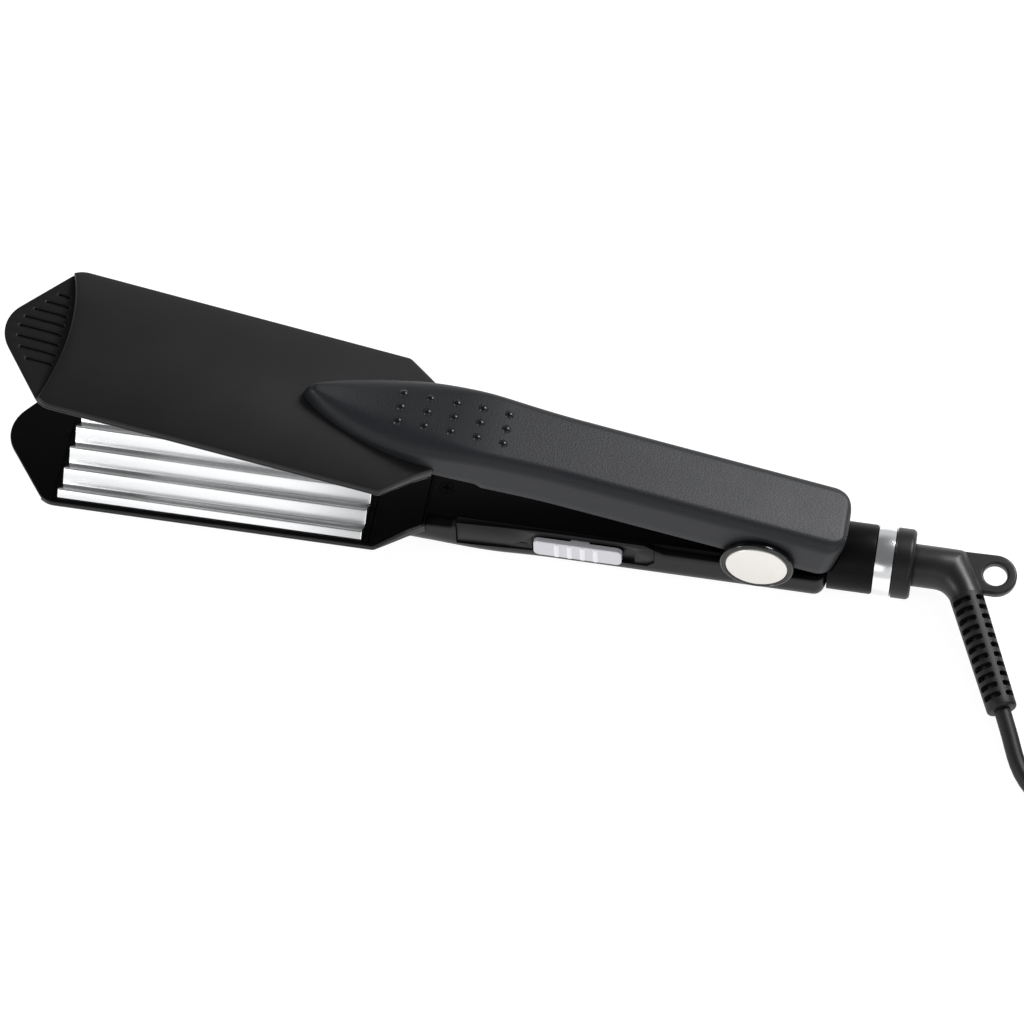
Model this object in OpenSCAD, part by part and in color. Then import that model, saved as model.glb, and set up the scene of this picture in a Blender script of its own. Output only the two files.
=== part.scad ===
// Hair waver with two deep-wave plates, open as it lies on a table.
// Millimetres, +Z up, +X towards the cord. The origin is on the table, under
// the middle of the object without its cord.

/* [Wave plates] */
// Length of each heated plate
plate_len = 100; // [90:1:110]
// Half width of the plate section at its side walls
sec_hw = 26; // [25:0.5:27]
// Height of the waves above and below their middle
wave_amp = 1.9; // [1:0.1:2.1]
// Number of whole waves across a plate
wave_count = 6; // [4:1:7]

/* [Skins] */
// Height of the crowned skin at its middle, from the closing plane
crown_h = 7.6; // [7.4:0.1:7.8]
// Height of the crowned skin at its side edge
crown_edge = 4.1; // [3.9:0.1:4.2]
// Wall of the skins
skin_wall = 1.5; // [1.2:0.1:1.6]

/* [Grips] */
// Half width of both handles
grip_hw = 12.4; // [12.2:0.1:12.4]
// Height of the upper handle above the closing plane
grip_h = 17.6; // [17.2:0.1:18.2]
// Depth of the lower handle below the closing plane
belly_h = 20.6; // [20.4:0.1:21.4]

/* [Hinge] */
// Opening angle drawn, fully open as it lies
open_deg = 13; // [0:1:13]
// Radius of the hinge pin
pin_r = 2; // [1.8:0.1:2]
// Radial clearance of the ears on the pin
pin_clear = 0.05; // [0.02:0.01:0.1]
// Radius of the bright pivot caps
cap_r = 9.85; // [9:0.05:9.9]

/* [Switch] */
// Travel of the switch slider
slide_travel = 3; // [2:0.5:3.5]

/* [Cord end] */
// Radius of the neck
neck_r = 11.2; // [11:0.1:11.3]
// Sag of the strain relief below level, as it lies
swivel_tilt = 7.2; // [6.5:0.1:7.4]
// Diameter of the cord
cord_d = 5.4; // [5:0.1:5.4]
// Straight run of the hank
hank_run = 80; // [70:1:90]

/* [Hidden] */

// Places along the arms, from the hinge axis at x = 0
plate_x1 = -125.6;
plate_x0 = plate_x1 - plate_len;
side_x = plate_x0 - 4.4;
apex_x = plate_x0 - 25.1;
rear_x = -121.5;
sec_x1 = -107;
nose_r = 12.4;
nose_half = atan2(sec_hw, side_x - apex_x);
nose_x = apex_x + nose_r * (1 / sin(nose_half) - 1);
tab_end = 81.7;
plate_hw = sec_hw - 1.5;
wave_p = 2 * plate_hw / wave_count;
// Radius of the crown across the arm, through its edge and its middle
crown_r = (sec_hw * sec_hw + (crown_h - crown_edge) * (crown_h - crown_edge)) / (2 * (crown_h - crown_edge));
crown_z = crown_h - crown_r;
// Hinge axis above the table, and the shift that centres the object
hinge_z = belly_h;
shift_x = -(nose_x + tab_end) / 2;
axis_z = -9.2;
cr = cord_d / 2;
$fn = 64;

// ---------------------------------------------------------------- helpers
function unit(v) = v / norm(v);
function mix(a, b, t) = a + (b - a) * t;
function smooth(t) = let(s = min(max(t, 0), 1)) s * s * (3 - 2 * s);
function lnorm(a, b) = let(d = unit(b - a)) [-d[1], d[0]];
// Outline moved inwards by d, mitred, for outlines that turn anticlockwise
function inset(P, d) = let(n = len(P)) [for (i = [0:n - 1])
  let(a = P[(i + n - 1) % n], p = P[i], b = P[(i + 1) % n], u = lnorm(a, p), v = lnorm(p, b))
  p + d * (u + v) / (1 + u * v)];
// Corner p between a and b, rounded with radius r
function corner(a, p, b, r, n) = r <= 0.01 ? [p] :
  let(u = unit(a - p), v = unit(b - p), h = acos(u * v) / 2, t = r / tan(h),
      c = p + unit(u + v) * r / sin(h), p1 = p + u * t - c, p2 = p + v * t - c,
      a1 = atan2(p1[1], p1[0]), da = (atan2(p2[1], p2[0]) - a1 + 540) % 360 - 180)
  [for (k = [0:n]) c + r * [cos(a1 + da * k / n), sin(a1 + da * k / n)]];
function rounded(P, R, n = 6) = let(m = len(P)) [for (i = [0:m - 1])
  each corner(P[(i + m - 1) % m], P[i], P[(i + 1) % m], R[i], n)];
// Point of a smooth curve through the points of Q
function spline_pt(Q, i, t) = let(m = len(Q) - 1,
  p0 = i > 0 ? Q[i - 1] : 2 * Q[0] - Q[1], p1 = Q[i], p2 = Q[i + 1],
  p3 = i + 2 <= m ? Q[i + 2] : 2 * Q[m] - Q[m - 1])
  0.5 * (2 * p1 + (p2 - p0) * t + (2 * p0 - 5 * p1 + 4 * p2 - p3) * t * t + (3 * p1 - p0 - 3 * p2 + p3) * t * t * t);
function spline(Q, n) = [for (i = [0:len(Q) - 2]) for (k = [0:n - 1]) spline_pt(Q, i, k / n), Q[len(Q) - 1]];
function ring_faces(m, n) = concat(
  [[for (k = [0:n - 1]) k]],
  [for (i = [0:m - 2]) for (k = [0:n - 1]) each [
    [(i + 1) * n + k, (i + 1) * n + (k + 1) % n, i * n + (k + 1) % n],
    [(i + 1) * n + k, i * n + (k + 1) % n, i * n + k]]],
  [[for (k = [n - 1:-1:0]) (m - 1) * n + k]]);
// Round section of radius r swept along route Q
module sweep(Q, r, n, up = [0, 0, 1]) {
  m = len(Q);
  polyhedron(points = [for (i = [0:m - 1])
    let(t = unit(Q[min(i + 1, m - 1)] - Q[max(i - 1, 0)]), u = unit(cross(up, t)), v = cross(t, u))
    for (k = [0:n - 1]) Q[i] + r * (cos(360 * k / n) * u + sin(360 * k / n) * v)],
    faces = ring_faces(m, n), convexity = 6);
}
// Flat outlines pushed along one axis
module along_x(x0, x1) { translate([x0, 0, 0]) rotate([90, 0, 90]) linear_extrude(x1 - x0) children(); }
module along_y(y0, y1) { translate([0, y1, 0]) rotate([90, 0, 0]) linear_extrude(y1 - y0) children(); }
module along_z(z0, z1) { translate([0, 0, z0]) linear_extrude(z1 - z0) children(); }
module box(a, b) { translate(a) cube(b - a); }
module bar_y(r, y0, y1) { translate([0, y1, 0]) rotate([90, 0, 0]) cylinder(r = r, h = y1 - y0); }
module bar_x(r, x0, x1, z = 0) { translate([x0, 0, z]) rotate([0, 90, 0]) cylinder(r = r, h = x1 - x0); }

// Placing: the lower arm, its flipped section, the upper arm and the swivel
module place() { translate([shift_x, 0, hinge_z]) children(); }
module flip() { rotate([180, 0, 0]) children(); }
module upper() { place() rotate([0, open_deg, 0]) children(); }
module swivel() { place() translate([0, 0, axis_z]) rotate([swivel_tilt, 0, 0]) children(); }

// ---------------------------------------------------------------- wave section, drawn above the closing plane
function sec_outline(d) = inset([[apex_x, 0], [side_x, -sec_hw], [rear_x, -sec_hw], [-112, -18],
  [sec_x1, -14.6], [sec_x1, 14.6], [-112, 18], [rear_x, sec_hw], [side_x, sec_hw]], d);
function sec_radii(d) = [nose_r - d, 4.5 - d, 2.5 - d, 4, 0, 0, 4, 2.5 - d, 4.5 - d];
// Front edge of the outline at y
function nose_edge(y) = let(a = abs(y)) a < nose_r * cos(nose_half) ?
  nose_x + nose_r - sqrt(nose_r * nose_r - a * a) : apex_x + a * (side_x - apex_x) / sec_hw;
module sec_plan(d) { polygon(rounded(sec_outline(d), sec_radii(d))); }
module crown(r) { bar_x_fine(r, apex_x - 5, -90, crown_z); }
module bar_x_fine(r, x0, x1, z) { translate([x0, 0, z]) rotate([0, 90, 0]) cylinder(r = r, h = x1 - x0, $fn = 360); }
module front_arc(r) { translate([plate_x0 - 79.9, 0, -1]) cylinder(r = r, h = 12, $fn = 240); }
module sec_frame() {
  ih = sec_hw - 1.3;
  difference() {
    along_z(1.5, 2.85) sec_plan(0);
    box([plate_x0 - 1.75, -ih, 1.4], [plate_x1 + 2.3, ih, 3]);
    box([apex_x - 1, -30, 2.6], [plate_x0 - 1.75, 30, 3]);
    for (y = [-10.5, -6.8, -3, 0.9, 4.5, 8.1, 11.8, 15.5])
      box([nose_edge(y) + 4.2, y - 0.6, 2], [side_x + 0.4, y + 0.6, 3]);
  }
}
module sec_skin() {
  difference() {
    intersection() {
      along_z(2.9, 9) sec_plan(0);
      crown(crown_r);
    }
    difference() {
      intersection() {
        along_z(2.8, 8.9) sec_plan(1.3);
        crown(crown_r - skin_wall);
      }
      front_arc(79.4);
    }
    front_arc(78);
    box([-110, -12.9, 2.8], [-106, 12.9, 5.4]);
  }
}
module sec_plate() {
  n = 96;
  along_x(plate_x0, plate_x1) polygon(concat(
    [for (i = [0:n]) let(y = -plate_hw + 2 * plate_hw * i / n) [y, wave_amp * sin(360 * y / wave_p) + 0.3]],
    [[plate_hw, 2.6], [20, 3.4], [-20, 3.4], [-plate_hw, 2.6]]));
}
module sec_heater() {
  difference() {
    box([plate_x0 + 6.6, -14, 3.45], [plate_x1 - 7.4, 14, 4.65]);
    for (x = [plate_x0 + 22 : 18 : plate_x1 - 20]) box([x, -9, 4.2], [x + 10, 9, 5]);
  }
}
module sec_insulator() { box([plate_x0 + 8, -13, 4.7], [plate_x1 - 9, 13, 5]); }
module sec_heat_frame() {
  difference() {
    union() {
      box([plate_x0 - 1.6, -plate_hw + 0.2, 1.6], [plate_x0 - 0.2, plate_hw - 0.2, 2.85]);
      box([plate_x1 + 0.2, -plate_hw + 0.2, 1.6], [plate_x1 + 2, plate_hw - 0.2, 2.85]);
      box([plate_x1 + 0.2, -18, 2.8], [plate_x1 + 2, 18, 4.3]);
      for (s = [-1, 1]) {
        box([plate_x0 - 1.5, s * 16 - 1, 2.8], [plate_x0 - 0.2, s * 16 + 1, 4.3]);
        box([plate_x0 - 1.5, s * 16 - 1, 3.45], [plate_x1 + 2, s * 16 + 1, 4.3]);
      }
    }
    for (s = [-1, 1]) box([plate_x1, s * 6 - 2.5, 3.1], [plate_x1 + 3, s * 6 + 2.5, 5]);
  }
}
module inner_cover(x0, x1, screws) {
  difference() {
    box([x0, -8.7, 1.5], [x1, 8.7, 2.9]);
    for (x = screws) translate([x, 0, 0]) {
      cylinder(r = 1.1, h = 5);
      cylinder(r = 2.35, h = 2.4);
    }
  }
}
module screw_set(screws) {
  for (x = screws) translate([x, 0, 0]) difference() {
    union() {
      translate([0, 0, 1.55]) cylinder(r = 2.2, h = 0.8);
      translate([0, 0, 2.3]) cylinder(r = 0.93, h = 6.6);
    }
    for (a = [0, 90]) rotate([0, 0, a]) translate([-1.3, -0.25, 1.5]) cube([2.6, 0.5, 0.5]);
  }
}
upper_screw_x = [-96, -30];
lower_screw_x = [-102.5, -27];

// ---------------------------------------------------------------- teardrop grips, drawn above the closing plane
tip_x = -152.1;
// Half width at x: pointed front, widest at the taper, then the even handle
function tear_w(x) = x < -110.4 ?
  14.1 * pow(max(0, 1 - pow((-110.4 - x) / (-110.4 - tip_x), 1.8)), 0.72) :
  mix(14.1, grip_hw, smooth((x + 110.4) / 44.4));
// Tail corner of radius r, in plan or in height
function tail(v, x, x1, r) = x > x1 - r ? v - r + sqrt(max(0, r * r - (x - x1 + r) * (x - x1 + r))) : v;
// Blunt front of the grip
function blunt(h, x) = x < -148.5 ? 7.5 + (h - 7.5) * sqrt(max(0, 1 - pow((-148.5 - x) / 3.6, 2))) : h;
function upper_h(x) = blunt(13.2 + (grip_h - 13.2) * smooth((x + 142) / 54), x);
function lower_h(x) = blunt(13.3 + (belly_h + 0.3 - 13.3) * smooth((x + 146) / 38), x);
// Half section with width w, height h, foot z and shoulder ry by rz
function grip_ring(x, w, h, z, ry, rz) = concat([[x, w, z]],
  [for (a = [0:11.25:90]) [x, w - ry + ry * cos(a), h - rz + rz * sin(a)]],
  [for (a = [90:-11.25:0]) [x, -(w - ry + ry * cos(a)), h - rz + rz * sin(a)]], [[x, -w, z]]);
grip_front = [-152, -151.6, -151, -150, -148.5, -146, -143, -139, -134, -128, -122, -116, -110, -104, -98, -92, -84, -75, -66, -40, -10];
module upper_loft(x1) {
  X = concat(grip_front, [x1 - 6.5, x1 - 4.4, x1 - 2.6, x1 - 1.2, x1 - 0.4, x1]);
  polyhedron(points = [for (x = X)
    let(w = tail(max(0.7, tear_w(x)), x, x1, 6.5), h = tail(upper_h(x), x, x1, 2.5),
        s = smooth((x + 128) / 36), ry = min(mix(0.8 * w, 4, s), w - 0.15), rz = min(mix(6, 4.2, s), h - 3))
    each grip_ring(x, w, h, 1.5, ry, rz)], faces = ring_faces(len(X), 20), convexity = 4);
}
module lower_loft(x1) {
  X = concat(grip_front, [x1 - 4, x1 - 2.6, x1 - 1.4, x1 - 0.5, x1]);
  polyhedron(points = [for (x = X)
    let(w = tail(max(0.7, tear_w(x)), x, x1, 4), h = tail(lower_h(x), x, x1, 3),
        r = 8.2 + 5.6 * smooth((-80 - x) / 35), ry = min(r, 0.93 * w, w - 0.15), rz = min(r + 0.2, h - 4))
    each grip_ring(x, w, h, 0.8, ry, rz)], faces = ring_faces(len(X), 20), convexity = 4);
}
module dot(x, y, z) {
  translate([x, y, z]) intersection() {
    translate([0, 0, -2.2]) sphere(r = 2.65);
    translate([0, 0, -0.6]) cylinder(r = 1.4, h = 2);
  }
}

// ---------------------------------------------------------------- lower arm
module lower_frame() color("#26272a") place() {
  flip() sec_frame();
  difference() {
    union() {
      along_z(-9.5, -8) polygon([[-106.9, -10.3], [7.5, -10.3], [7.5, 10.3], [-106.9, 10.3]]);
      for (y = [-10.3, 8.8]) along_y(y, y + 1.5) polygon([[-108, -1.5], [-108, -2.85], [-106.9, -2.85],
        [-106.9, -9.5], [-12, -9.5], [-12, -1.5]]);
      for (y = [-8.4, 6.6]) {
        bar_y(4.2, y, y + 1.8);
        box([-4.2, y, -9], [4.2, y + 1.8, 0]);
      }
      box([-15, -4.4, -8.5], [-13, -1.2, -4.25]);
      for (x = [-90, -46]) for (y = [-6, 6]) translate([x, y, -8.5]) cylinder(r = 1.6, h = 1.1);
    }
    bar_y(pin_r + 0.01, -9, 9);
    along_z(-10, -7.9) polygon([[-30, 2.6], [0, 2.6], [0, -2.6], [8, -2.6], [8, 6.5], [-30, 6.5]]);
    for (x = lower_screw_x) translate([x, 0, -10]) cylinder(r = 3.1, h = 3);
    box([-61.5, -10.4, -6.3], [-56 + slide_travel + 4, -8.7, -2.5]);
  }
}
module lower_skin() color("#1e1f21") place() flip() sec_skin();
module lower_grip() color("#2c2e31") place() difference() {
  union() {
    difference() {
      flip() intersection() {
        lower_loft(22);
        box([-160, -20, 0], [30, 20, belly_h]);
      }
      // inside of the shell
      flip() along_x(-128, -106) polygon([[-9, -1], [9, -1], [9, 9.5], [3.2, 13], [-3.2, 13], [-9, 9.5]]);
      flip() along_x(-107.05, 19.6) polygon([[-10.6, -1], [10.6, -1], [10.6, 12], [8, 15.6], [4.3, 18.8],
        [-4.3, 18.8], [-8, 15.6], [-10.6, 12]]);
    }
    for (x = lower_screw_x) flip() translate([x, 0, 2.95]) cylinder(r = 2.8, h = 16.5);
    // seats of the pivot bezels
    for (y = [-12.7, 12.2]) intersection() {
      bar_y(11, y, y + 0.5);
      box([-12, -14, -12], [12, 14, -4.3]);
    }
  }
  // seat on the crowned skin
  flip() intersection() {
    crown(crown_r + 0.02);
    box([-160, -30, -2], [-106.95, 30, 12]);
  }
  flip() box([-106.95, -20, 0], [-97, 20, 3]);
  // rim line, lower at the hinge and at the tail
  along_y(-20, 20) polygon([[-37, -0.8], [-30, -4.2], [10, -4.2], [10, 2], [-37, 2]]);
  box([9.9, -20, -7.2], [30, 20, 2]);
  // window of the switch panel
  box([-97.1, -20, -12.1], [-32.9, -10.55, 2]);
  bar_x(8.85, 12, 30, axis_z);
  for (x = lower_screw_x) flip() translate([x, 0, 2]) cylinder(r = 0.95, h = 7.2);
}
module lower_plate() color("#d5d7d9") place() flip() sec_plate();
module lower_heater() color("#e9e6df") place() flip() sec_heater();
module lower_insulator() color("#c9b48a") place() flip() sec_insulator();
module lower_heat_frame() color("#1b1c1e") place() flip() sec_heat_frame();
module lower_inner_cover() color("#222326") place() flip() inner_cover(-106.8, -16, lower_screw_x);
module lower_screws() color("#9a9da1") place() flip() screw_set(lower_screw_x);
module lower_leads() color("#d8d5cc") place() for (s = [-1, 1])
  sweep(spline([[-132.8, 6 * s, -4.1], [-124, 6 * s, -4.1], [-115, 5 * s, -4.3], [-108, 4.4 * s, -4.4], [-102, 4.4 * s, -4.7], [-96, 4.4 * s, -5]], 2), 0.7, 8);
module switch_panel() color("#17181a") place() difference() {
  along_z(-12, -0.9) polygon([[-97, -10.7], [-97, -13.1], [-82, -12.4], [-66, -11.95], [-33, -11.95], [-33, -10.7]]);
  box([-60.3, -13, -5.9], [-54 + slide_travel + 0.3, -10, -2.9]);
  box([-39.6, -13, -8.3], [-34.6, -11.45, -5.2]);
  along_y(-14, -10) polygon([[-37.2, -0.9], [-32.9, -2.99], [-32, -2.99], [-32, 1], [-37.2, 1]]);
}
module switch_slider() color("#d9dadb") place() {
  intersection() {
    along_z(-11.7, -4) polygon(rounded([[-71.9, -12.25], [-71.9, -14], [-43.3, -14], [-43.3, -12.25]], [0, 1, 1, 0]));
    along_y(-15, -12) polygon(rounded([[-71.9, -11.7], [-43.3, -11.7], [-43.3, -4], [-71.9, -4]], [1.6, 1.6, 1.6, 1.6]));
  }
  for (x = [-64.3, -60.1, -55.9, -51.7]) translate([x, -13.8, -11.2]) cylinder(r = 0.6, h = 6.7);
  box([-60, -12.4, -5.6], [-54, -9, -3.2]);
}
module control_board() color("#2f6b45") place() {
  box([-98, -8.4, -7.4], [-38, 8.4, -5.8]);
  box([-92, -2.5, -5.9], [-82, 3.5, -3.6]);
  box([-78, 1.5, -5.9], [-71, 6.5, -4]);
  for (x = [-47, -42]) translate([x, 4, -5.9]) cylinder(r = 1.8, h = 2.5);
}
module slide_switch() color("#8d9094") place() box([-66, -8.5, -5.75], [-48, -3, -3.1]);
module mains_leads() color("#7a4a2c") place() {
  sweep(spline([[24, -1, -9.2], [16, -1, -9.2], [9.5, -0.9, -9.2], [5.2, 0.8, -8.8], [0.6, 3.6, -7.6], [-6, 3.7, -6.9], [-20, 3.7, -6.7], [-37, 3.7, -6.6]], 2), 0.8, 8);
  sweep(spline([[24, 1, -9.2], [16, 1, -9.2], [9.5, 1.2, -9.2], [5.2, 3, -8.8], [0.6, 5.6, -7.6], [-6, 5.6, -6.9], [-20, 5.6, -6.7], [-37, 5.6, -6.6]], 2), 0.8, 8);
}
module neck_tube() color("#1d1e20") place() difference() {
  union() {
    difference() {
      union() {
        bar_x(neck_r, 22.1, 36.4, axis_z);
        bar_x(8.8, 8, 22.2, axis_z);
      }
      // clears the tail of the upper grip
      rotate([0, open_deg, 0]) along_z(1.1, 25) polygon(rounded([[-5, -12.9], [24.85, -12.9], [24.85, 12.9], [-5, 12.9]], [0, 6.9, 6.9, 0], 10));
    }
    bar_x(10.2, 36.3, 42.5, axis_z);
  }
  bar_x(8.5, 26, 50, axis_z);
  bar_x(3, 5, 30, axis_z);
}
module neck_ring() color("#c9ccd0") place() difference() {
  bar_x(11.25, 36.5, 42.45, axis_z);
  bar_x(10.22, 36, 43, axis_z);
}
module end_cap() color("#1a1b1d") place() difference() {
  union() {
    translate([42.6, 0, axis_z]) rotate([0, 90, 0]) rotate_extrude() polygon(
      concat([[0, 0], [11.3, 0]], corner([11.3, 0], [11.3, 6.1], [0, 6.1], 1.5, 6), [[0, 6.1]]));
    bar_x(8.45, 38, 42.7, axis_z);
  }
  bar_x(5.55, 37, 50, axis_z);
  bar_x(7.2, 47.6, 50, axis_z);
}
module swivel_bush() color("#b9bcc0") place() difference() {
  bar_x(8.45, 30, 37.9, axis_z);
  bar_x(5.55, 29, 39, axis_z);
}
module hinge_pin() color("#c4c7cb") place() bar_y(pin_r, -13.5, 13.5);
// Spring: lower leg forward, four turns round the pin, upper leg under the upper arm
spring_r = 3.6;
module opening_spring() color("#a8abaf") place() {
  a1 = 90 - open_deg + 1440;
  coil = [for (k = [0:54]) let(a = mix(-90, a1, k / 54)) [spring_r * cos(a), mix(-2.8, 2.8, k / 54), spring_r * sin(a)]];
  leg = [-cos(open_deg), 0, sin(open_deg)];
  sweep(concat([[-15, -2.8, -spring_r], [-7, -2.8, -spring_r], [-1, -2.8, -spring_r]], coil,
    [coil[54] + leg, coil[54] + 7 * leg, coil[54] + 15 * leg]), 0.6, 8, [0, 1, 0]);
}
// The two leads that pass the hinge: y, then the place in the swinging arm
function swung(x, y, z) = [x * cos(open_deg) + z * sin(open_deg), y, z * cos(open_deg) - x * sin(open_deg)];
module hinge_leads() color("#d8d5cc") place() for (y = [-5.6, 5.6])
  sweep(spline([swung(-17, y, 3.6), swung(-12.5, y, 3.5), [-8.4, y, 4.2], [-6.8, y, 0.4], [-8.2, y, -3], [-12.5, y, -4.4], [-24, y, -4.7], [-37, y, -4.9]], 3), 0.7, 8);
module bezel() difference() {
  union() {
    bar_y(11.8, 12.7, 13.9);
    bar_y(11.8, 13.8, 14.7);
  }
  bar_y(10.05, 13.9, 15);
  bar_y(pin_r + 0.01, 12, 13.55);
}
module cap() translate([0, 13.95, 0]) rotate([-90, 0, 0]) rotate_extrude() polygon(
  [[0, 0], [cap_r, 0], [cap_r, 0.55], [cap_r - 0.15, 0.75], [cap_r - 0.5, 0.88], [7.4, 1.1], [4.9, 1.28], [2.5, 1.4], [0, 1.45]]);
module pivot_bezel_near() color("#121314") place() mirror([0, 1, 0]) bezel();
module pivot_bezel_far() color("#121314") place() bezel();
module pivot_cap_near() color("#cfc9c4") place() mirror([0, 1, 0]) cap();
module pivot_cap_far() color("#cfc9c4") place() cap();

// ---------------------------------------------------------------- upper arm
module upper_frame() color("#26272a") upper() {
  sec_frame();
  difference() {
    union() {
      for (y = [-10.3, 8.8]) {
        along_y(y, y + 1.5) polygon([[-108, 1.5], [18, 1.5], [18, 8], [-106.9, 8], [-106.9, 2.85], [-108, 2.85]]);
        bar_y(4.2, y, y + 1.5);
      }
      box([-15, 1.2, 4.25], [-13, 4.6, 6]);
      box([-15, 4.5, 4.8], [-13, 9, 6]);
      box([14, -9, 5], [16, 9, 8]);
    }
    bar_y(pin_r + pin_clear, -11, 11);
  }
}
module upper_skin() color("#1e1f21") upper() sec_skin();
module upper_grip() color("#3a3d42") upper() {
  difference() {
    union() {
      difference() {
        upper_loft(24.4);
        // inside of the shell
        along_x(-130, -104) polygon([[-9.3, 0], [9.3, 0], [9.3, 9.3], [5, 11.6], [-5, 11.6], [-9.3, 9.3]]);
        intersection() {
          along_x(-107.05, 22.4) polygon([[-10.6, 0], [10.6, 0], [10.6, 12.8], [8, 15.2], [-8, 15.2], [-10.6, 12.8]]);
          along_z(-1, 20) polygon([[-110, -10.6], [17.9, -10.6], [22.4, -6.4], [22.4, 6.4], [17.9, 10.6], [-110, 10.6]]);
        }
      }
      for (x = upper_screw_x) translate([x, 0, 2.95]) cylinder(r = 2.8, h = 12.8);
    }
    // seat on the crowned skin
    intersection() {
      crown(crown_r + 0.02);
      box([-160, -30, -2], [-106.95, 30, 12]);
    }
    box([-106.95, -20, 0], [-92, 20, 3]);
    bar_y(pin_r + 0.6, -15, 15);
    for (x = upper_screw_x) translate([x, 0, 2]) cylinder(r = 0.95, h = 7.2);
  }
  // raised dots
  for (i = [0:4]) for (j = [-1:1]) let(x = -121.7 + 8.39 * i) dot(x, 5.5 * j, upper_h(x) - (j == 0 ? 0.1 : 0.35 - 0.3 * smooth(i / 3)));
}
module upper_plate() color("#d5d7d9") upper() sec_plate();
module upper_heater() color("#e9e6df") upper() sec_heater();
module upper_insulator() color("#c9b48a") upper() sec_insulator();
module upper_heat_frame() color("#1b1c1e") upper() sec_heat_frame();
module upper_inner_cover() color("#222326") upper() inner_cover(-106.8, -16, upper_screw_x);
module upper_screws() color("#9a9da1") upper() screw_set(upper_screw_x);
module upper_leads() color("#d8d5cc") upper() for (s = [-1, 1])
  sweep(spline([[-132.8, 6 * s, 4.1], [-124, 6 * s, 4.1], [-115, 5 * s, 4.3], [-108, 4.6 * s, 4.4], [-96, 4.6 * s, 4.6], [-60, 4.6 * s, 4.6], [-28, 5 * s, 4.2], [-17.2, 5.6 * s, 3.6]], 2), 0.7, 8);

// ---------------------------------------------------------------- swivel, drawn flat round its own axis
bend_x = 63;
bend_a = 67;
relief_d = [cos(bend_a), -sin(bend_a), 0];
// Elbow: sections that fan round the centre of its inner fillet, out to the
// straight top and to the outer flank
fillet_r = 6.7;
fan = [55.67, -6.85 - fillet_r];
flank = unit([13.6, 7.08]);
function fan_out(a) = let(t1 = (6.85 - fan[1]) / cos(a), t2 = (60.464 - fan * flank) / ([sin(a), cos(a)] * flank))
  -ln(exp(-2 * (t1 - 20)) + exp(-2 * (t2 - 20))) / 2 + 20;
function fan_ring(a) = let(t = fan_out(a), d = [sin(a), cos(a)], c = fan + d * (t + fillet_r) / 2, u = (t - fillet_r) / 2,
  w = mix(6.85, 5.35, smooth(a / bend_a)))
  [for (k = [0:31]) [c[0] + d[0] * u * cos(11.25 * k), c[1] + d[1] * u * cos(11.25 * k), w * sin(11.25 * k)]];
function round_ring(x, r) = [for (k = [0:31]) [x, r * cos(11.25 * k), r * sin(11.25 * k)]];
module elbow_loft() {
  R = concat([round_ring(48, 6.5), round_ring(48.35, 6.85)], [for (a = [0, 6, 12, 16, 19, 21, 23, 25, 27, 30, 34, 40, 48, 57, 67]) fan_ring(a)]);
  polyhedron(points = [for (r = R) each r], faces = ring_faces(len(R), 32), convexity = 4);
}
module swivel_stem() color("#2a2b2e") swivel() difference() {
  union() {
    bar_x(5.5, 28, 47.95);
    bar_x(8.2, 26.3, 29.9);
  }
  bar_x(2, 20, 50);
}
module on_relief() { translate([bend_x, 0, 0]) rotate([0, 0, -bend_a]) rotate([0, 90, 0]) children(); }
module swivel_elbow() color("#1c1d1f") swivel() difference() {
  union() {
    elbow_loft();
    difference() {
      along_z(-1.5, 1.5) polygon([[60, -6.9], [74.8, -6.9], [74.8, 6.9], [60, 6.9]]);
      on_relief() translate([0, 0, 4]) cylinder(r = 5.6, h = 30);
    }
    difference() {
      translate([74.8, 0, -1.5]) cylinder(r = 6.9, h = 3);
      on_relief() translate([0, 0, 4]) cylinder(r = 5.6, h = 30);
    }
  }
  translate([74.8, 0, -2]) cylinder(r = 3.8, h = 4);
}
module strain_relief() color("#1a1b1c") swivel() on_relief() {
  translate([0, 0, 9.63]) cylinder(r = 3.1, h = 39.77);
  intersection() {
    translate([0, 0, 9.63]) cylinder(r1 = 5.3, r2 = 4.85, h = 37);
    union() {
      rotate([0, 0, -10]) translate([-6, -1.05, 9.6]) cube([12, 2.1, 37]);
      rotate([0, 0, -10]) translate([-0.9, -6, 9.6]) cube([1.8, 12, 37]);
    }
  }
  for (i = [0:11]) translate([0, 0, 9.63 + 3.35 * i]) cylinder(r = 5.3 - 0.04 * i, h = i == 11 ? 3 : 1.45);
}

// ---------------------------------------------------------------- cord, hank and plug
exit_s = 49.75;
cord_exit = [bend_x + exit_s * cos(bend_a), -exit_s * sin(bend_a) * cos(swivel_tilt), axis_z - exit_s * sin(bend_a) * sin(swivel_tilt)];
hank_x = 130;
hank_y = -44;
// Heights here are from the table
function low_pt(x, y, z) = [x, y, z - hinge_z];
cord_route = concat([cord_exit], [low_pt(83.9, -49.1, 5.2), low_pt(85.5, -53, 4.6), low_pt(87, -57, 4), low_pt(88.6, -61, 3.4),
  low_pt(90.8, -65.1, 2.95), low_pt(93.8, -69, 2.75), low_pt(97.6, -72.5, 2.7), low_pt(102.2, -75.2, 2.7),
  low_pt(107.2, -76.6, 2.7), low_pt(112.6, -77, 2.7), low_pt(118, -77, 2.7)]);
tail_route = [low_pt(212, -74.25, 7.5), low_pt(228, -71.5, 7.5), low_pt(242, -63, 7), low_pt(251.5, -50, 5.6), low_pt(255.5, -33, 4.2),
  low_pt(255.2, -15, 3.6), low_pt(250.8, 3, 3.8), low_pt(241.5, 18.5, 4.7), low_pt(229.5, 27.6, 5.9), low_pt(220.5, 30, 6.6), low_pt(215, 30, 6.85)];
tie_x = hank_x + hank_run / 2;
module cord_tube() color("#161718") place() sweep(spline(cord_route, 2), cr, 10);
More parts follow.
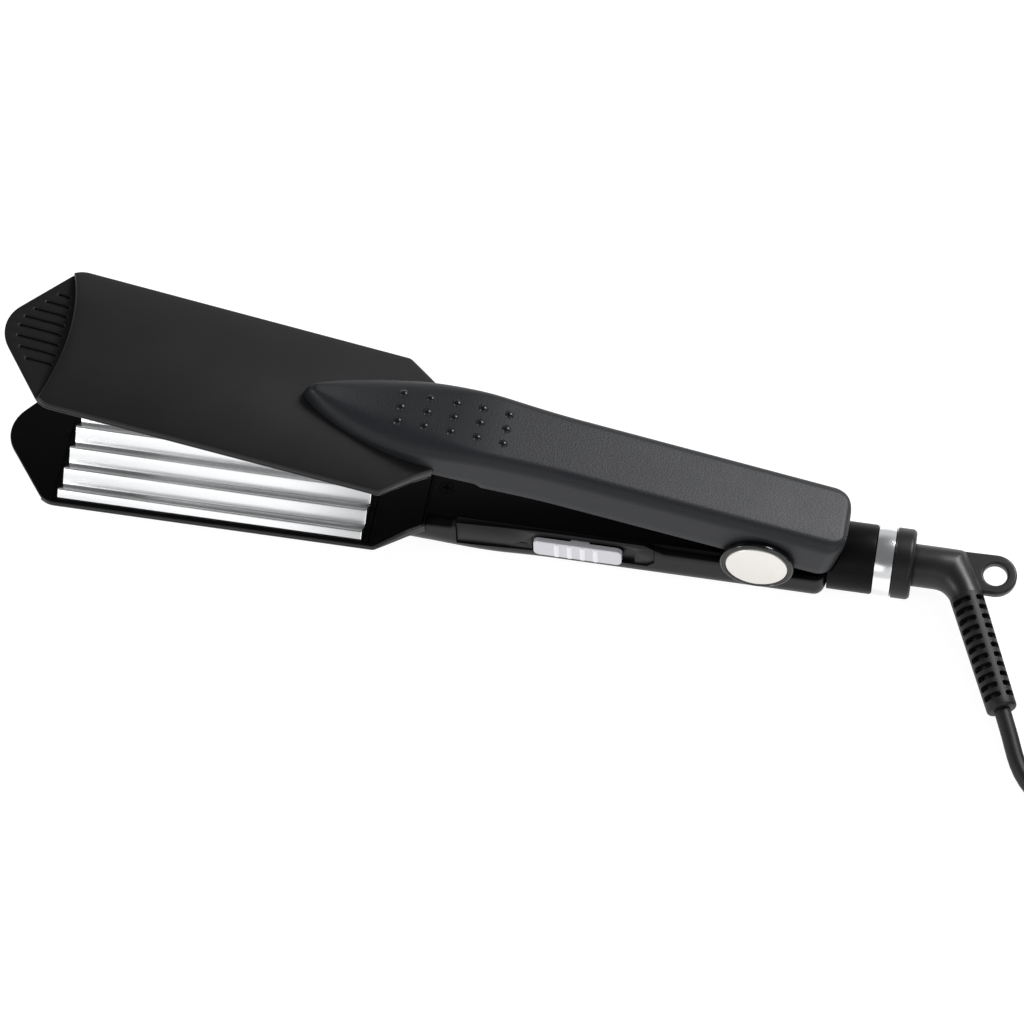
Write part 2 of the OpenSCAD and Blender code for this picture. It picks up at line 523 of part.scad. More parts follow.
module hank_plan(r) {
  square([hank_run, 2 * r], center = false);
}
module hank_shape(r, z0, z1) {
  translate([hank_x, hank_y, 0]) {
    box([0, -r, z0], [hank_run, r, z1]);
    for (x = [0, hank_run]) translate([x, 0, z0]) cylinder(r = r, h = z1 - z0);
  }
}
module tie_outer() translate([tie_x - 4, 0, 0]) along_x(0, 8) polygon(
  rounded([[hank_y - 36.6, 0.05], [hank_y + 36.6, 0.05], [hank_y + 36.6, 11.6], [hank_y - 36.6, 11.6]], [2.4, 2.4, 3, 3]));
module tie_inner() translate([tie_x - 5, 0, 0]) along_x(0, 10) polygon(
  rounded([[hank_y - 35.7, 0.65], [hank_y + 35.7, 0.65], [hank_y + 35.7, 10.8], [hank_y - 35.7, 10.8]], [1.8, 1.8, 2.2, 2.2]));
module cord_hank() color("#161718") translate([shift_x, 0, 0]) difference() {
  hank_shape(35.7, 0, 10.8);
  difference() {
    box([tie_x - 4, hank_y - 40, -1], [tie_x + 4, hank_y + 40, 12]);
    tie_inner();
  }
}
module cord_tie() color("#232426") translate([shift_x, 0, 0]) difference() {
  tie_outer();
  tie_inner();
}
module cord_tail() color("#161718") place() sweep(spline(tail_route, 2), cr, 10);
plug_x = 165;
plug_y = 30;
module plug_body() color("#17181a") translate([shift_x, 0, 0]) {
  intersection() {
    along_z(0, 13.7) polygon(rounded([[plug_x, plug_y - 17.6], [plug_x + 9, plug_y - 17.6], [plug_x + 36, plug_y - 7.5],
      [plug_x + 36, plug_y + 7.5], [plug_x + 9, plug_y + 17.6], [plug_x, plug_y + 17.6]], [4, 5, 2, 2, 5, 4]));
    along_y(plug_y - 20, plug_y + 20) polygon(rounded([[plug_x, 0], [plug_x + 24, 0], [plug_x + 36, 1.2],
      [plug_x + 36, 12.5], [plug_x + 24, 13.7], [plug_x, 13.7]], [1, 2, 1.5, 1.5, 2, 1]));
  }
  translate([0, plug_y, 0]) translate([plug_x + 35.9, 0, 6.85]) rotate([0, 90, 0]) cylinder(r1 = 5, r2 = 3.6, h = 14.1);
}
module plug_pins() color("#c8cacc") translate([shift_x, 0, 0]) for (s = [-9.3, 9.3])
  translate([plug_x - 19, plug_y + s, 6.85]) rotate([0, 90, 0]) cylinder(r = 2, h = 19);

lower_frame();
lower_skin();
lower_grip();
lower_plate();
lower_heater();
lower_insulator();
lower_heat_frame();
lower_inner_cover();
lower_screws();
lower_leads();
switch_panel();
switch_slider();
control_board();
slide_switch();
mains_leads();
neck_tube();
neck_ring();
end_cap();
swivel_bush();
hinge_pin();
opening_spring();
hinge_leads();
pivot_bezel_near();
pivot_bezel_far();
pivot_cap_near();
pivot_cap_far();
upper_frame();
upper_skin();
upper_grip();
upper_plate();
upper_heater();
upper_insulator();
upper_heat_frame();
upper_inner_cover();
upper_screws();
upper_leads();
swivel_stem();
swivel_elbow();
strain_relief();
cord_tube();
cord_hank();
cord_tail();
cord_tie();
plug_body();
plug_pins();
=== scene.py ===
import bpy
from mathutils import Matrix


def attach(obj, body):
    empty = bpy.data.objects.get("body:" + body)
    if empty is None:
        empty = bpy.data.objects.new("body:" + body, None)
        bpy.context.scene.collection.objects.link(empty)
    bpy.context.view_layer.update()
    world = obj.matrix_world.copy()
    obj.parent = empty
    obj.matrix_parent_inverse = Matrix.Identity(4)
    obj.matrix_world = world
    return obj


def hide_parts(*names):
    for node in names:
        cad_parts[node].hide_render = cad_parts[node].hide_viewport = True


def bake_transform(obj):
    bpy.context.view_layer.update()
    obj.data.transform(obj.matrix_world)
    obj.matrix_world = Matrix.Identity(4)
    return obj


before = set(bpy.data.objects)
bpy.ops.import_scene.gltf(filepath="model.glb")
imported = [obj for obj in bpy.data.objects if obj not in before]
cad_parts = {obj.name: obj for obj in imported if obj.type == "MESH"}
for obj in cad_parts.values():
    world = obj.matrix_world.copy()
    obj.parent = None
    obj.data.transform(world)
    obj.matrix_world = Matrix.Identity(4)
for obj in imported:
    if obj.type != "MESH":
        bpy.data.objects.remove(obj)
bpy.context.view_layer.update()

import math

import bmesh
import bpy
import numpy as np
from mathutils import Matrix, Vector
from mathutils.geometry import delaunay_2d_cdt, tessellate_polygon

# Lengths below are in mm from the hinge axis, as in the CAD source. Each
# place_* call takes them to metres in the shared frame.
ORIGIN = np.array([82.775, 0.0, 20.6])
OPEN = math.radians(13.0)
TILT = math.radians(7.2)
AXIS_Z = -9.2
BEND_X, BEND_A = 63.0, math.radians(67.0)


def place_low(P):
    return (np.asarray(P, float).reshape(-1, 3) + ORIGIN) * 0.001


def place_flip(P):
    return place_low(np.asarray(P, float).reshape(-1, 3) * (1, -1, -1))


def place_up(P):
    P = np.asarray(P, float).reshape(-1, 3)
    c, s = math.cos(OPEN), math.sin(OPEN)
    return place_low(np.stack([P[:, 0] * c + P[:, 2] * s, P[:, 1], P[:, 2] * c - P[:, 0] * s], 1))


def place_swivel(P):
    P = np.asarray(P, float).reshape(-1, 3)
    c, s = math.cos(TILT), math.sin(TILT)
    return place_low(np.stack([P[:, 0], P[:, 1] * c - P[:, 2] * s, P[:, 1] * s + P[:, 2] * c + AXIS_Z], 1))


def place_relief(P):
    """Local z runs along the strain relief, local y across it in the elbow's plane."""
    P = np.asarray(P, float).reshape(-1, 3)
    c, s = math.cos(BEND_A), math.sin(BEND_A)
    x, y, z = P[:, 2], P[:, 1], -P[:, 0]
    return place_swivel(np.stack([BEND_X + x * c + y * s, -x * s + y * c, z], 1))


def smooth(t):
    t = min(max(t, 0.0), 1.0)
    return t * t * (3 - 2 * t)


def mix(a, b, t):
    return a + (b - a) * t


# ------------------------------------------------------------------ camera
cam_data = bpy.data.cameras.new("camera")
cam = bpy.data.objects.new("camera", cam_data)
bpy.context.scene.collection.objects.link(cam)
right = Vector((0.98392921, 0.17688118, -0.02442051))
down = Vector((0.13576561, -0.82992331, -0.54110535))
ahead = Vector((-0.1159785, 0.52909389, -0.84060017))
cam.matrix_world = Matrix((
    (right.x, -down.x, -ahead.x, 0.13685320),
    (right.y, -down.y, -ahead.y, -0.61787840),
    (right.z, -down.z, -ahead.z, 0.99158772),
    (0, 0, 0, 1)))
cam_data.sensor_width = 36.0
cam_data.lens = 36.0 * 3612.51 / 1024.0
cam_data.clip_start, cam_data.clip_end = 0.01, 20.0
bpy.context.scene.camera = cam


# ------------------------------------------------------------------ mesh helpers
def finish_mesh(ob, angle=32.0):
    me = ob.data
    for p in me.polygons:
        p.use_smooth = True
    me.set_sharp_from_angle(angle=math.radians(angle))


def make(name, parts, place, material, angle=32.0, weighted=False):
    """One mesh of closed shells, each (vertices in mm, faces)."""
    V, F = [], []
    for verts, faces in parts:
        n = len(V)
        V.extend(tuple(float(c) for c in v) for v in verts)
        F.extend(tuple(i + n for i in f) for f in faces)
    me = bpy.data.meshes.new(name)
    me.from_pydata([tuple(v) for v in place(V)], [], F)
    bm = bmesh.new()
    bm.from_mesh(me)
    bmesh.ops.remove_doubles(bm, verts=bm.verts, dist=2e-6)
    bmesh.ops.dissolve_degenerate(bm, edges=bm.edges, dist=1e-6)
    bmesh.ops.recalc_face_normals(bm, faces=bm.faces)
    bm.to_mesh(me)
    bm.free()
    ob = bpy.data.objects.new(name, me)
    bpy.context.scene.collection.objects.link(ob)
    if material is not None:
        me.materials.append(material)
    finish_mesh(ob, angle)
    if weighted:
        m = ob.modifiers.new("normals", "WEIGHTED_NORMAL")
        m.keep_sharp = True
    return ob


def settle(ob, angle=32.0):
    """The object's modifiers become its mesh."""
    bpy.context.view_layer.update()
    me = bpy.data.meshes.new_from_object(ob.evaluated_get(bpy.context.evaluated_depsgraph_get()))
    old = ob.data
    ob.modifiers.clear()
    ob.data = me
    me.name = ob.name
    bpy.data.meshes.remove(old)
    finish_mesh(ob, angle)
    return ob


def carve(ob, tools, operation="DIFFERENCE", angle=32.0):
    for t in tools:
        m = ob.modifiers.new("carve", "BOOLEAN")
        m.operation, m.solver, m.object = operation, "EXACT", t
    settle(ob, angle)
    for t in tools:
        me = t.data
        bpy.data.objects.remove(t)
        bpy.data.meshes.remove(me)
    return ob


def bevel(ob, width, segments=3, limit=30.0, angle=32.0):
    m = ob.modifiers.new("bevel", "BEVEL")
    m.width, m.segments, m.limit_method, m.angle_limit = width * 0.001, segments, "ANGLE", math.radians(limit)
    m.use_clamp_overlap = True
    return settle(ob, angle)


def rings(R, closed=True, ends=True):
    """Quads between rings of the same number of points, with capped ends."""
    m, n = len(R), len(R[0])
    V = [p for r in R for p in r]
    F = []
    for i in range(m - 1):
        for k in range(n if closed else n - 1):
            j = (k + 1) % n
            F.append((i * n + k, i * n + j, (i + 1) * n + j, (i + 1) * n + k))
    if ends:
        F.append(tuple(range(n - 1, -1, -1)))
        F.append(tuple((m - 1) * n + k for k in range(n)))
    return V, F


def prism(poly, a, b, axis):
    """Flat outline pushed along an axis: x takes (y, z), y takes (x, z), z takes (x, y)."""
    put = {"x": lambda p, t: (t, p[0], p[1]), "y": lambda p, t: (p[0], t, p[1]), "z": lambda p, t: (p[0], p[1], t)}[axis]
    return rings([[put(p, a) for p in poly], [put(p, b) for p in poly]])


def block(a, b):
    return prism([(a[0], a[1]), (b[0], a[1]), (b[0], b[1]), (a[0], b[1])], a[2], b[2], "z")


def lathe(profile, axis, centre=(0.0, 0.0), seg=96):
    """Closed outline of (place along the axis, radius), turned round the axis."""
    V, F, n = [], [], len(profile)
    for k in range(seg):
        a = 2 * math.pi * k / seg
        for t, r in profile:
            u, v = max(r, 0.0) * math.cos(a), max(r, 0.0) * math.sin(a)
            if axis == "x":
                V.append((t, centre[0] + u, centre[1] + v))
            elif axis == "y":
                V.append((centre[0] + u, t, centre[1] + v))
            else:
                V.append((centre[0] + u, centre[1] + v, t))
    for k in range(seg):
        j = (k + 1) % seg
        for i in range(n):
            i2 = (i + 1) % n
            if profile[i][1] <= 0 and profile[i2][1] <= 0:
                continue
            F.append((k * n + i, k * n + i2, j * n + i2, j * n + i))
    return V, F


def arc(c, r, a0, a1, n):
    return [(c[0] + r * math.cos(math.radians(a0 + (a1 - a0) * k / n)),
             c[1] + r * math.sin(math.radians(a0 + (a1 - a0) * k / n))) for k in range(n + 1)]


def rounded(P, R, n=6):
    """Outline with its corners rounded, each to its own radius."""
    out, m = [], len(P)
    for i in range(m):
        a, p, b = np.array(P[i - 1], float), np.array(P[i], float), np.array(P[(i + 1) % m], float)
        r = R[i] if hasattr(R, "__len__") else R
        if r < 0.01:
            out.append(tuple(p))
            continue
        u, v = (a - p) / np.linalg.norm(a - p), (b - p) / np.linalg.norm(b - p)
        h = math.acos(np.clip(u @ v, -1, 1)) / 2
        c = p + (u + v) / np.linalg.norm(u + v) * r / math.sin(h)
        p1, p2 = p + u * r / math.tan(h) - c, p + v * r / math.tan(h) - c
        a1 = math.atan2(p1[1], p1[0])
        da = (math.atan2(p2[1], p2[0]) - a1 + 3 * math.pi) % (2 * math.pi) - math.pi
        for k in range(n + 1):
            out.append((c[0] + r * math.cos(a1 + da * k / n), c[1] + r * math.sin(a1 + da * k / n)))
    return out


def inset(P, d):
    """Outline that turns anticlockwise, moved inwards by d with mitred corners."""
    P = np.array(P, float)
    e = np.roll(P, -1, 0) - P
    e /= np.linalg.norm(e, axis=1)[:, None]
    v = np.stack([-e[:, 1], e[:, 0]], 1)
    u = np.roll(v, 1, 0)
    return P + d * (u + v) / (1 + (u * v).sum(1))[:, None]


def inside(pts, poly):
    pts, poly = np.asarray(pts, float), np.asarray(poly, float)
    x, y = pts[:, 0], pts[:, 1]
    hit = np.zeros(len(pts), bool)
    q = np.roll(poly, 1, 0)
    for (x1, y1), (x2, y2) in zip(poly, q):
        if y1 == y2:
            continue
        cross = ((y1 > y) != (y2 > y)) & (x < (x2 - x1) * (y - y1) / (y2 - y1) + x1)
        hit ^= cross
    return hit


def flat_fill(loops, z):
    """Triangles of the first outline less the others, at height z."""
    V = [(p[0], p[1], z) for l in loops for p in l]
    tris = tessellate_polygon([[Vector((p[0], p[1], 0)) for p in l] for l in loops])
    return V, [tuple(t) for t in tris]


def domed_fill(loop, height, step):
    """Triangles inside the outline with inner points, lifted by height(x, y)."""
    loop = [tuple(p[:2]) for p in loop]
    lo, hi = np.min(loop, 0), np.max(loop, 0)
    xs = np.arange(lo[0] + step[0] / 2, hi[0], step[0])
    ys = np.arange(-math.floor((hi[1]) / step[1]) * step[1], hi[1], step[1])
    G = np.array([(x, y) for x in xs for y in ys])
    near = np.min(np.linalg.norm(G[:, None, :] - np.array(loop)[None, :, :], axis=2), axis=1)
    G = G[inside(G, loop) & (near > 0.55 * min(step))]
    pts = [Vector(p) for p in loop] + [Vector(p) for p in G]
    n = len(loop)
    res = delaunay_2d_cdt(pts, [(k, (k + 1) % n) for k in range(n)], [], 0, 1e-7)
    V = np.array([tuple(v) for v in res[0]])
    T = np.array([f for f in res[2]])
    T = T[inside(V[T].mean(1), loop)]
    return [(x, y, height(x, y)) for x, y in V], [tuple(int(i) for i in t) for t in T]


def band(loops):
    """Quads between successive closed outlines in space."""
    return rings(loops, True, False)


def frames_along(P):
    """Directions that turn as little as possible along a route."""
    P = np.asarray(P, float)
    T = np.gradient(P, axis=0)
    T /= np.linalg.norm(T, axis=1)[:, None]
    u = np.cross(T[0], (0, 0, 1.0))
    u /= np.linalg.norm(u)
    U = []
    for t in T:
        u = u - (u @ t) * t
        u /= np.linalg.norm(u)
        U.append(u)
    U = np.array(U)
    return U, np.cross(T, U)


def tube(P, radius, seg=16):
    P = np.asarray(P, float)
    U, W = frames_along(P)
    r = np.broadcast_to(np.asarray(radius, float), (len(P),))
    return rings([[tuple(P[i] + r[i] * (math.cos(2 * math.pi * k / seg) * U[i] + math.sin(2 * math.pi * k / seg) * W[i]))
                   for k in range(seg)] for i in range(len(P))])


def spline(Q, n):
    Q = [np.array(q, float) for q in Q]
    m, out = len(Q) - 1, []
    for i in range(m):
        p0 = Q[i - 1] if i else 2 * Q[0] - Q[1]
        p1, p2 = Q[i], Q[i + 1]
        p3 = Q[i + 2] if i + 2 <= m else 2 * Q[m] - Q[m - 1]
        for k in range(n):
            t = k / n
            out.append(0.5 * (2 * p1 + (p2 - p0) * t + (2 * p0 - 5 * p1 + 4 * p2 - p3) * t * t
                              + (3 * p1 - p0 - 3 * p2 + p3) * t ** 3))
    return out + [Q[m]]


# ------------------------------------------------------------------ materials
def srgb(*c):
    return tuple((v / 255 / 12.92) if v <= 10.3 else ((v / 255 + 0.055) / 1.055) ** 2.4 for v in c) + (1.0,)


def material(name, colour, rough, metal=0.0, spread=0.12, grain=1800.0, bump=0.06, depth=0.00005, rough_spread=0.08,
             specular=0.5, coat=0.0, coat_rough=0.1, stretch=None, detail=3.0, colour_scale=60.0, sheen=0.0):
    """Moulded or metal finish: fine grain in the bump, slow changes in colour and in roughness."""
    m = bpy.data.materials.new(name)
    m.use_nodes = True
    t, N = m.node_tree, m.node_tree.nodes
    bsdf = N["Principled BSDF"]
    bsdf.inputs["Metallic"].default_value = metal
    bsdf.inputs["Specular IOR Level"].default_value = specular
    bsdf.inputs["Coat Weight"].default_value = coat
    bsdf.inputs["Coat Roughness"].default_value = coat_rough
    bsdf.inputs["Sheen Weight"].default_value = sheen
    bsdf.inputs["Sheen Roughness"].default_value = 0.5
    co = N.new("ShaderNodeTexCoord")
    vec = co.outputs["Object"]
    if stretch:
        mp = N.new("ShaderNodeMapping")
        mp.inputs["Scale"].default_value = stretch
        t.links.new(vec, mp.inputs["Vector"])
        fine_vec = mp.outputs["Vector"]
    else:
        fine_vec = vec
    fine = N.new("ShaderNodeTexNoise")
    fine.inputs["Scale"].default_value = grain
    fine.inputs["Detail"].default_value = detail
    t.links.new(fine_vec, fine.inputs["Vector"])
    slow = N.new("ShaderNodeTexNoise")
    slow.inputs["Scale"].default_value = colour_scale
    slow.inputs["Detail"].default_value = 4.0
    t.links.new(vec, slow.inputs["Vector"])
    ramp = N.new("ShaderNodeMix")
    ramp.data_type = "RGBA"
    ramp.inputs["A"].default_value = tuple(c * (1 - spread) for c in colour[:3]) + (1,)
    ramp.inputs["B"].default_value = tuple(min(1.0, c * (1 + spread)) for c in colour[:3]) + (1,)
    add = N.new("ShaderNodeMath")
    add.operation = "ADD"
    half = N.new("ShaderNodeMath")
    half.operation = "MULTIPLY"
    half.inputs[1].default_value = 0.5
    t.links.new(slow.outputs["Fac"], add.inputs[0])
    t.links.new(fine.outputs["Fac"], add.inputs[1])
    t.links.new(add.outputs[0], half.inputs[0])
    t.links.new(half.outputs[0], ramp.inputs["Factor"])
    t.links.new(ramp.outputs["Result"], bsdf.inputs["Base Color"])
    rr = N.new("ShaderNodeMapRange")
    rr.inputs["To Min"].default_value = max(0.02, rough - rough_spread)
    rr.inputs["To Max"].default_value = min(1.0, rough + rough_spread)
    t.links.new(half.outputs[0], rr.inputs["Value"])
    t.links.new(rr.outputs["Result"], bsdf.inputs["Roughness"])
    b = N.new("ShaderNodeBump")
    b.inputs["Strength"].default_value = bump
    b.inputs["Distance"].default_value = depth
    t.links.new(fine.outputs["Fac"], b.inputs["Height"])
    t.links.new(b.outputs["Normal"], bsdf.inputs["Normal"])
    return m


M = {
    "frame": material("frame_black", srgb(12, 12, 13), 0.42, grain=2600, bump=0.25, depth=0.00004, specular=0.26),
    # darker copy of the frame black: painted shade for faces that lie in the other arm's shadow
    "inner": material("inner_painted_shade", srgb(5, 5, 6), 0.6, grain=2600, bump=0.25, depth=0.00004, specular=0.06),
    # screws coloured near black with little shine: painted shade for the shadowed interior they sit in
    "screw_shade": material("screw_painted_shade", srgb(9, 9, 10), 0.55, metal=0.3, grain=1500, bump=0.1, specular=0.05),
    "skin": material("skin_satin", srgb(17, 17, 18), 0.38, grain=3200, bump=0.2, depth=0.00003, specular=0.35),
    "soft": material("soft_grip", srgb(24, 25, 29), 0.47, grain=1700, bump=0.75, depth=0.00009, spread=0.3, specular=0.28, detail=5.0),
    "shell": material("shell_satin", srgb(14, 14, 15), 0.42, grain=3000, bump=0.3, depth=0.00004, specular=0.18),
    "neck": material("neck_satin", srgb(9, 9, 10), 0.4, grain=3000, bump=0.3, depth=0.00004, specular=0.08),
    "dots": material("dot_gloss", srgb(12, 13, 15), 0.25, grain=1500, bump=0.05, specular=0.34),
    "gloss": material("gloss_black", srgb(9, 9, 10), 0.14, grain=900, bump=0.03, specular=0.5, rough_spread=0.03),
    "panel": material("panel_black", srgb(11, 11, 12), 0.34, grain=2400, bump=0.1, rough_spread=0.05, specular=0.16),
    "plate": material("plate_brushed", (0.73, 0.735, 0.74, 1), 0.25, metal=1.0, grain=1100, bump=0.05, depth=0.00002,
                      stretch=(0.12, 3.0, 3.0), spread=0.04, rough_spread=0.04),
    "slider": material("slider_silver", srgb(202, 201, 206), 0.38, metal=0.25, grain=2600, bump=0.1, spread=0.03),
    # ribs coloured lighter than the slider body: a painted highlight along the ribs
    "rib_highlight": material("slider_rib_highlight", srgb(228, 227, 231), 0.34, metal=0.2, grain=2600, bump=0.1, spread=0.03),
    "cap": material("cap_satin", srgb(226, 222, 217), 0.34, metal=0.55, grain=1600, bump=0.06, spread=0.03),
    "ring": material("ring_polished", (0.84, 0.84, 0.85, 1), 0.19, metal=1.0, grain=700, bump=0.04, rough_spread=0.04, spread=0.03),
    "swivel": material("swivel_black", srgb(21, 21, 22), 0.38, grain=2800, bump=0.25, depth=0.00004, specular=0.35),
    "rubber": material("cord_rubber", srgb(15, 15, 16), 0.5, grain=2600, bump=0.3, depth=0.00005, specular=0.3),
    "tie": material("tie_plastic", srgb(34, 34, 36), 0.6, grain=1800, bump=0.6, depth=0.0001),
    "steel": material("screw_steel", (0.56, 0.57, 0.58, 1), 0.3, metal=1.0, grain=1500, bump=0.1, spread=0.05),
    "spring": material("spring_steel", (0.62, 0.62, 0.63, 1), 0.25, metal=1.0, grain=1500, bump=0.1, spread=0.05),
    "pins": material("pin_nickel", (0.78, 0.77, 0.74, 1), 0.2, metal=1.0, grain=900, bump=0.06, spread=0.04),
    "lead": material("lead_sleeve", srgb(214, 209, 196), 0.6, grain=3000, bump=0.5, depth=0.00008),
    "wire": material("wire_brown", srgb(112, 66, 40), 0.42, grain=2000, bump=0.15),
    "ceramic": material("heater_ceramic", srgb(226, 222, 212), 0.62, grain=1600, bump=0.3, depth=0.00008),
    "mica": material("mica_sheet", srgb(196, 172, 124), 0.4, grain=300, bump=0.1, spread=0.25),
    "heat": material("heat_plastic", srgb(20, 20, 21), 0.5, grain=2400, bump=0.3),
    "board": material("board_green", srgb(34, 92, 58), 0.4, grain=500, bump=0.1, spread=0.2),
    "switch": material("switch_metal", (0.5, 0.51, 0.52, 1), 0.35, metal=1.0, grain=1500, bump=0.1),
    "bush": material("bush_plastic", srgb(188, 190, 192), 0.45, grain=2000, bump=0.15),
}

# Carried-over CAD pieces
CAD_LOOK = {
    "lower_heater": "ceramic", "upper_heater": "ceramic", "lower_insulator": "mica", "upper_insulator": "mica",
    # heat frames and inner covers take the darker inner black, painted shade
    "lower_heat_frame": "inner", "upper_heat_frame": "inner", "lower_inner_cover": "inner", "upper_inner_cover": "inner",
    # screws take the near-black screw colour, painted shade
    "lower_screws": "screw_shade", "upper_screws": "screw_shade", "lower_leads": "lead", "upper_leads": "lead", "hinge_leads": "lead",
    "control_board": "board", "slide_switch": "switch", "mains_leads": "wire", "swivel_bush": "bush", "hinge_pin": "steel",
    "opening_spring": "spring", "swivel_stem": "swivel", "lower_frame": "frame", "upper_frame": "frame",
}
for node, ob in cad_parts.items():
    look = M[CAD_LOOK.get(node, "frame")]
    ob.data.materials.clear()
    ob.data.materials.append(look)


def add(name, parts, place, body, look, slot, nodes=(), angle=32.0, weighted=False):
    ob = make(name, parts, place, M[look], angle, weighted)
    return wear(ob, body, nodes)


def wear(ob, body, nodes=()):
    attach(ob, body)
    if nodes:
        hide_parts(*nodes)
    return ob


# ------------------------------------------------------------------ cord
EXIT_S = 49.75
tc, ts = math.cos(TILT), math.sin(TILT)
cord_exit = (BEND_X + EXIT_S * math.cos(BEND_A), -EXIT_S * math.sin(BEND_A) * tc,
             AXIS_Z - EXIT_S * math.sin(BEND_A) * ts + 20.6)
HX, RUN, CORD_R = 130.0, 80.0, 2.7
route = [np.array(p) for p in spline([cord_exit, (83.9, -49.1, 5.2), (85.5, -53, 4.6), (87, -57, 4), (88.6, -61, 3.4),
         (90.8, -65.1, 2.95), (93.8, -69, 2.75), (97.6, -72.5, 2.7), (102.2, -75.2, 2.7), (107.2, -76.6, 2.7),
         (112.6, -77, 2.7), (118, -77, 2.7), (124, -77, 2.7), (HX, -77, 2.7)], 4)]


def straight(x0, x1, y, z0, z1, n=22):
    for k in range(1, n + 1):
        t = k / n
        route.append(np.array((x0 + (x1 - x0) * t, y, mix(z0, z1, smooth(t)))))


def turn(cx, cy, r, side, z0, z1, n=26):
    for k in range(1, n + 1):
        a = -math.pi / 2 + math.pi * k / n if side > 0 else math.pi / 2 + math.pi * k / n
        route.append(np.array((cx + r * math.cos(a), cy + r * math.sin(a), mix(z0, z1, k / n))))


LOW, TOP, HIGH = 2.7, 7.4, 8.1
for i, r in enumerate((33.0, 27.5, 22.0, 16.5)):
    straight(HX, HX + RUN, -44 - r, LOW, LOW)
    turn(HX + RUN, -44, r, 1, LOW, LOW)
    if i < 3:
        straight(HX + RUN, HX, -44 + r, LOW, LOW)
        turn(HX, -41.25, r - 2.75, -1, LOW, LOW)
straight(HX + RUN, HX + 55, -27.5, LOW, LOW, 8)
straight(HX + 55, HX, -27.5, LOW, HIGH, 20)
turn(HX, -45.375, 17.875, -1, HIGH, HIGH)
straight(HX, HX + RUN, -63.25, HIGH, TOP)
turn(HX + RUN, -44, 19.25, 1, TOP, TOP)
straight(HX + RUN, HX, -24.75, TOP, HIGH)
turn(HX, -49.5, 24.75, -1, HIGH, HIGH)
straight(HX, HX + RUN, -74.25, HIGH, 7.5)
tail = spline([(HX + RUN, -74.25, 7.5), (212, -74.25, 7.5), (228, -71.5, 7.5), (242, -63, 7), (251.5, -50, 5.6), (255.5, -33, 4.2),
               (255.2, -15, 3.6), (250.8, 3, 3.8), (241.5, 18.5, 4.7), (229.5, 27.6, 5.9), (220.5, 30, 6.6), (215, 30, 6.85)], 5)
route += [np.array(p) for p in tail[1:]]
route = np.array(route)
step = np.linalg.norm(np.diff(route, axis=0), axis=1)
dist = np.concatenate([[0], np.cumsum(step)])
cord_len = dist[-1]
even = np.linspace(0, cord_len, int(cord_len / 3.0))
route = np.stack([np.interp(even, dist, route[:, k]) for k in range(3)], 1)
route[:, 2] -= 20.6
cord = make("mains_cord", [tube(route, CORD_R, 14)], place_low, M["rubber"])
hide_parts("cord_tube", "cord_hank", "cord_tail")


# ------------------------------------------------------------------ plug, pins and tie
def plug_shape():
    cx, cy = 165.0, 30.0

    def half(x):  # half width and the two heights of the plug's body at x
        w = mix(17.6, 7.6, smooth((x - 172.5) / 30.0))
        if x < 167:
            w -= 2.0 * (1 - math.sqrt(max(0, 1 - ((167 - x) / 2.0) ** 2)))
        top = 13.7 - 1.1 * smooth((x - 180) / 21)
        low = 1.1 * smooth((x - 180) / 21)
        return w, low, top
    R = []
    for x in [165, 165.15, 165.5, 166.2, 167, 169, 172, 175, 178, 181, 184, 187, 190, 193, 196, 198.5, 200.2, 201]:
        w, lo, hi = half(x)
        if x < 166.5:
            g = 1.0 * (1 - math.sqrt(max(0, 1 - ((166.5 - x) / 1.5) ** 2)))
            lo, hi = lo + g, hi - g
        if x > 199.5:
            g = 1.2 * (1 - math.sqrt(max(0, 1 - ((x - 199.5) / 1.5) ** 2)))
            lo, hi, w = lo + g, hi - g, w - g
        h = (hi - lo) / 2
        m = (hi + lo) / 2
        R.append([(x, cy + p[0], m + p[1] - 20.6) for p in rounded(
            [(-w, -h), (w, -h), (w, h), (-w, h)], [min(4.2, 0.62 * h)] * 4, 7)])
    body = rings(R)
    boot = []
    prof = [(200.0, 0.0), (200.0, 5.0)]
    for i in range(4):
        s = 201.2 + 3.1 * i
        r = 5.0 - 0.3 * i
        prof += [(s, r), (s + 0.25, r + 0.12), (s + 1.35, r + 0.05), (s + 1.6, r - 0.2), (s + 1.7, r - 0.9), (s + 2.6, r - 0.95), (s + 2.85, r - 0.5)]
    prof += [(213.8, 3.85), (214.6, 3.7), (215.0, 3.3), (215.0, 0.0)]
    boot = lathe(prof, "x", (cy, 6.85 - 20.6), 48)
    # finger grooves on both faces
    return body, boot


plug_solid, plug_boot = plug_shape()
plug = make("mains_plug", [plug_solid], place_low, M["rubber"], 40)
grooves = []
for zc in (-20.6 - 0.35, 13.7 - 20.6 + 0.35):
    for i in range(5):
        x = 176.0 + 3.4 * i
        w = 8.5 - 0.9 * i
        grooves.append(tube([(x, 30 - w, zc), (x, 30, zc), (x, 30 + w, zc)], 0.8, 12))
carve(plug, [make("cut", [g], place_low, None) for g in grooves], angle=40)
carve(plug, [make("boot", [plug_boot], place_low, M["rubber"])], "UNION", 40)
wear(plug, "lower_arm", ["plug_body"])
sleeves = []
for s in (-9.3, 9.3):
    sleeves.append(lathe([(164.9, 0), (164.9, 1.98), (156.2, 1.98), (155.9, 1.9), (155.9, 0)][::-1], "x", (30 + s, 6.85 - 20.6), 32))
sleeve = add("pin_sleeves", sleeves, place_low, "lower_arm", "rubber", "cord_rubber", angle=40)
tips = []
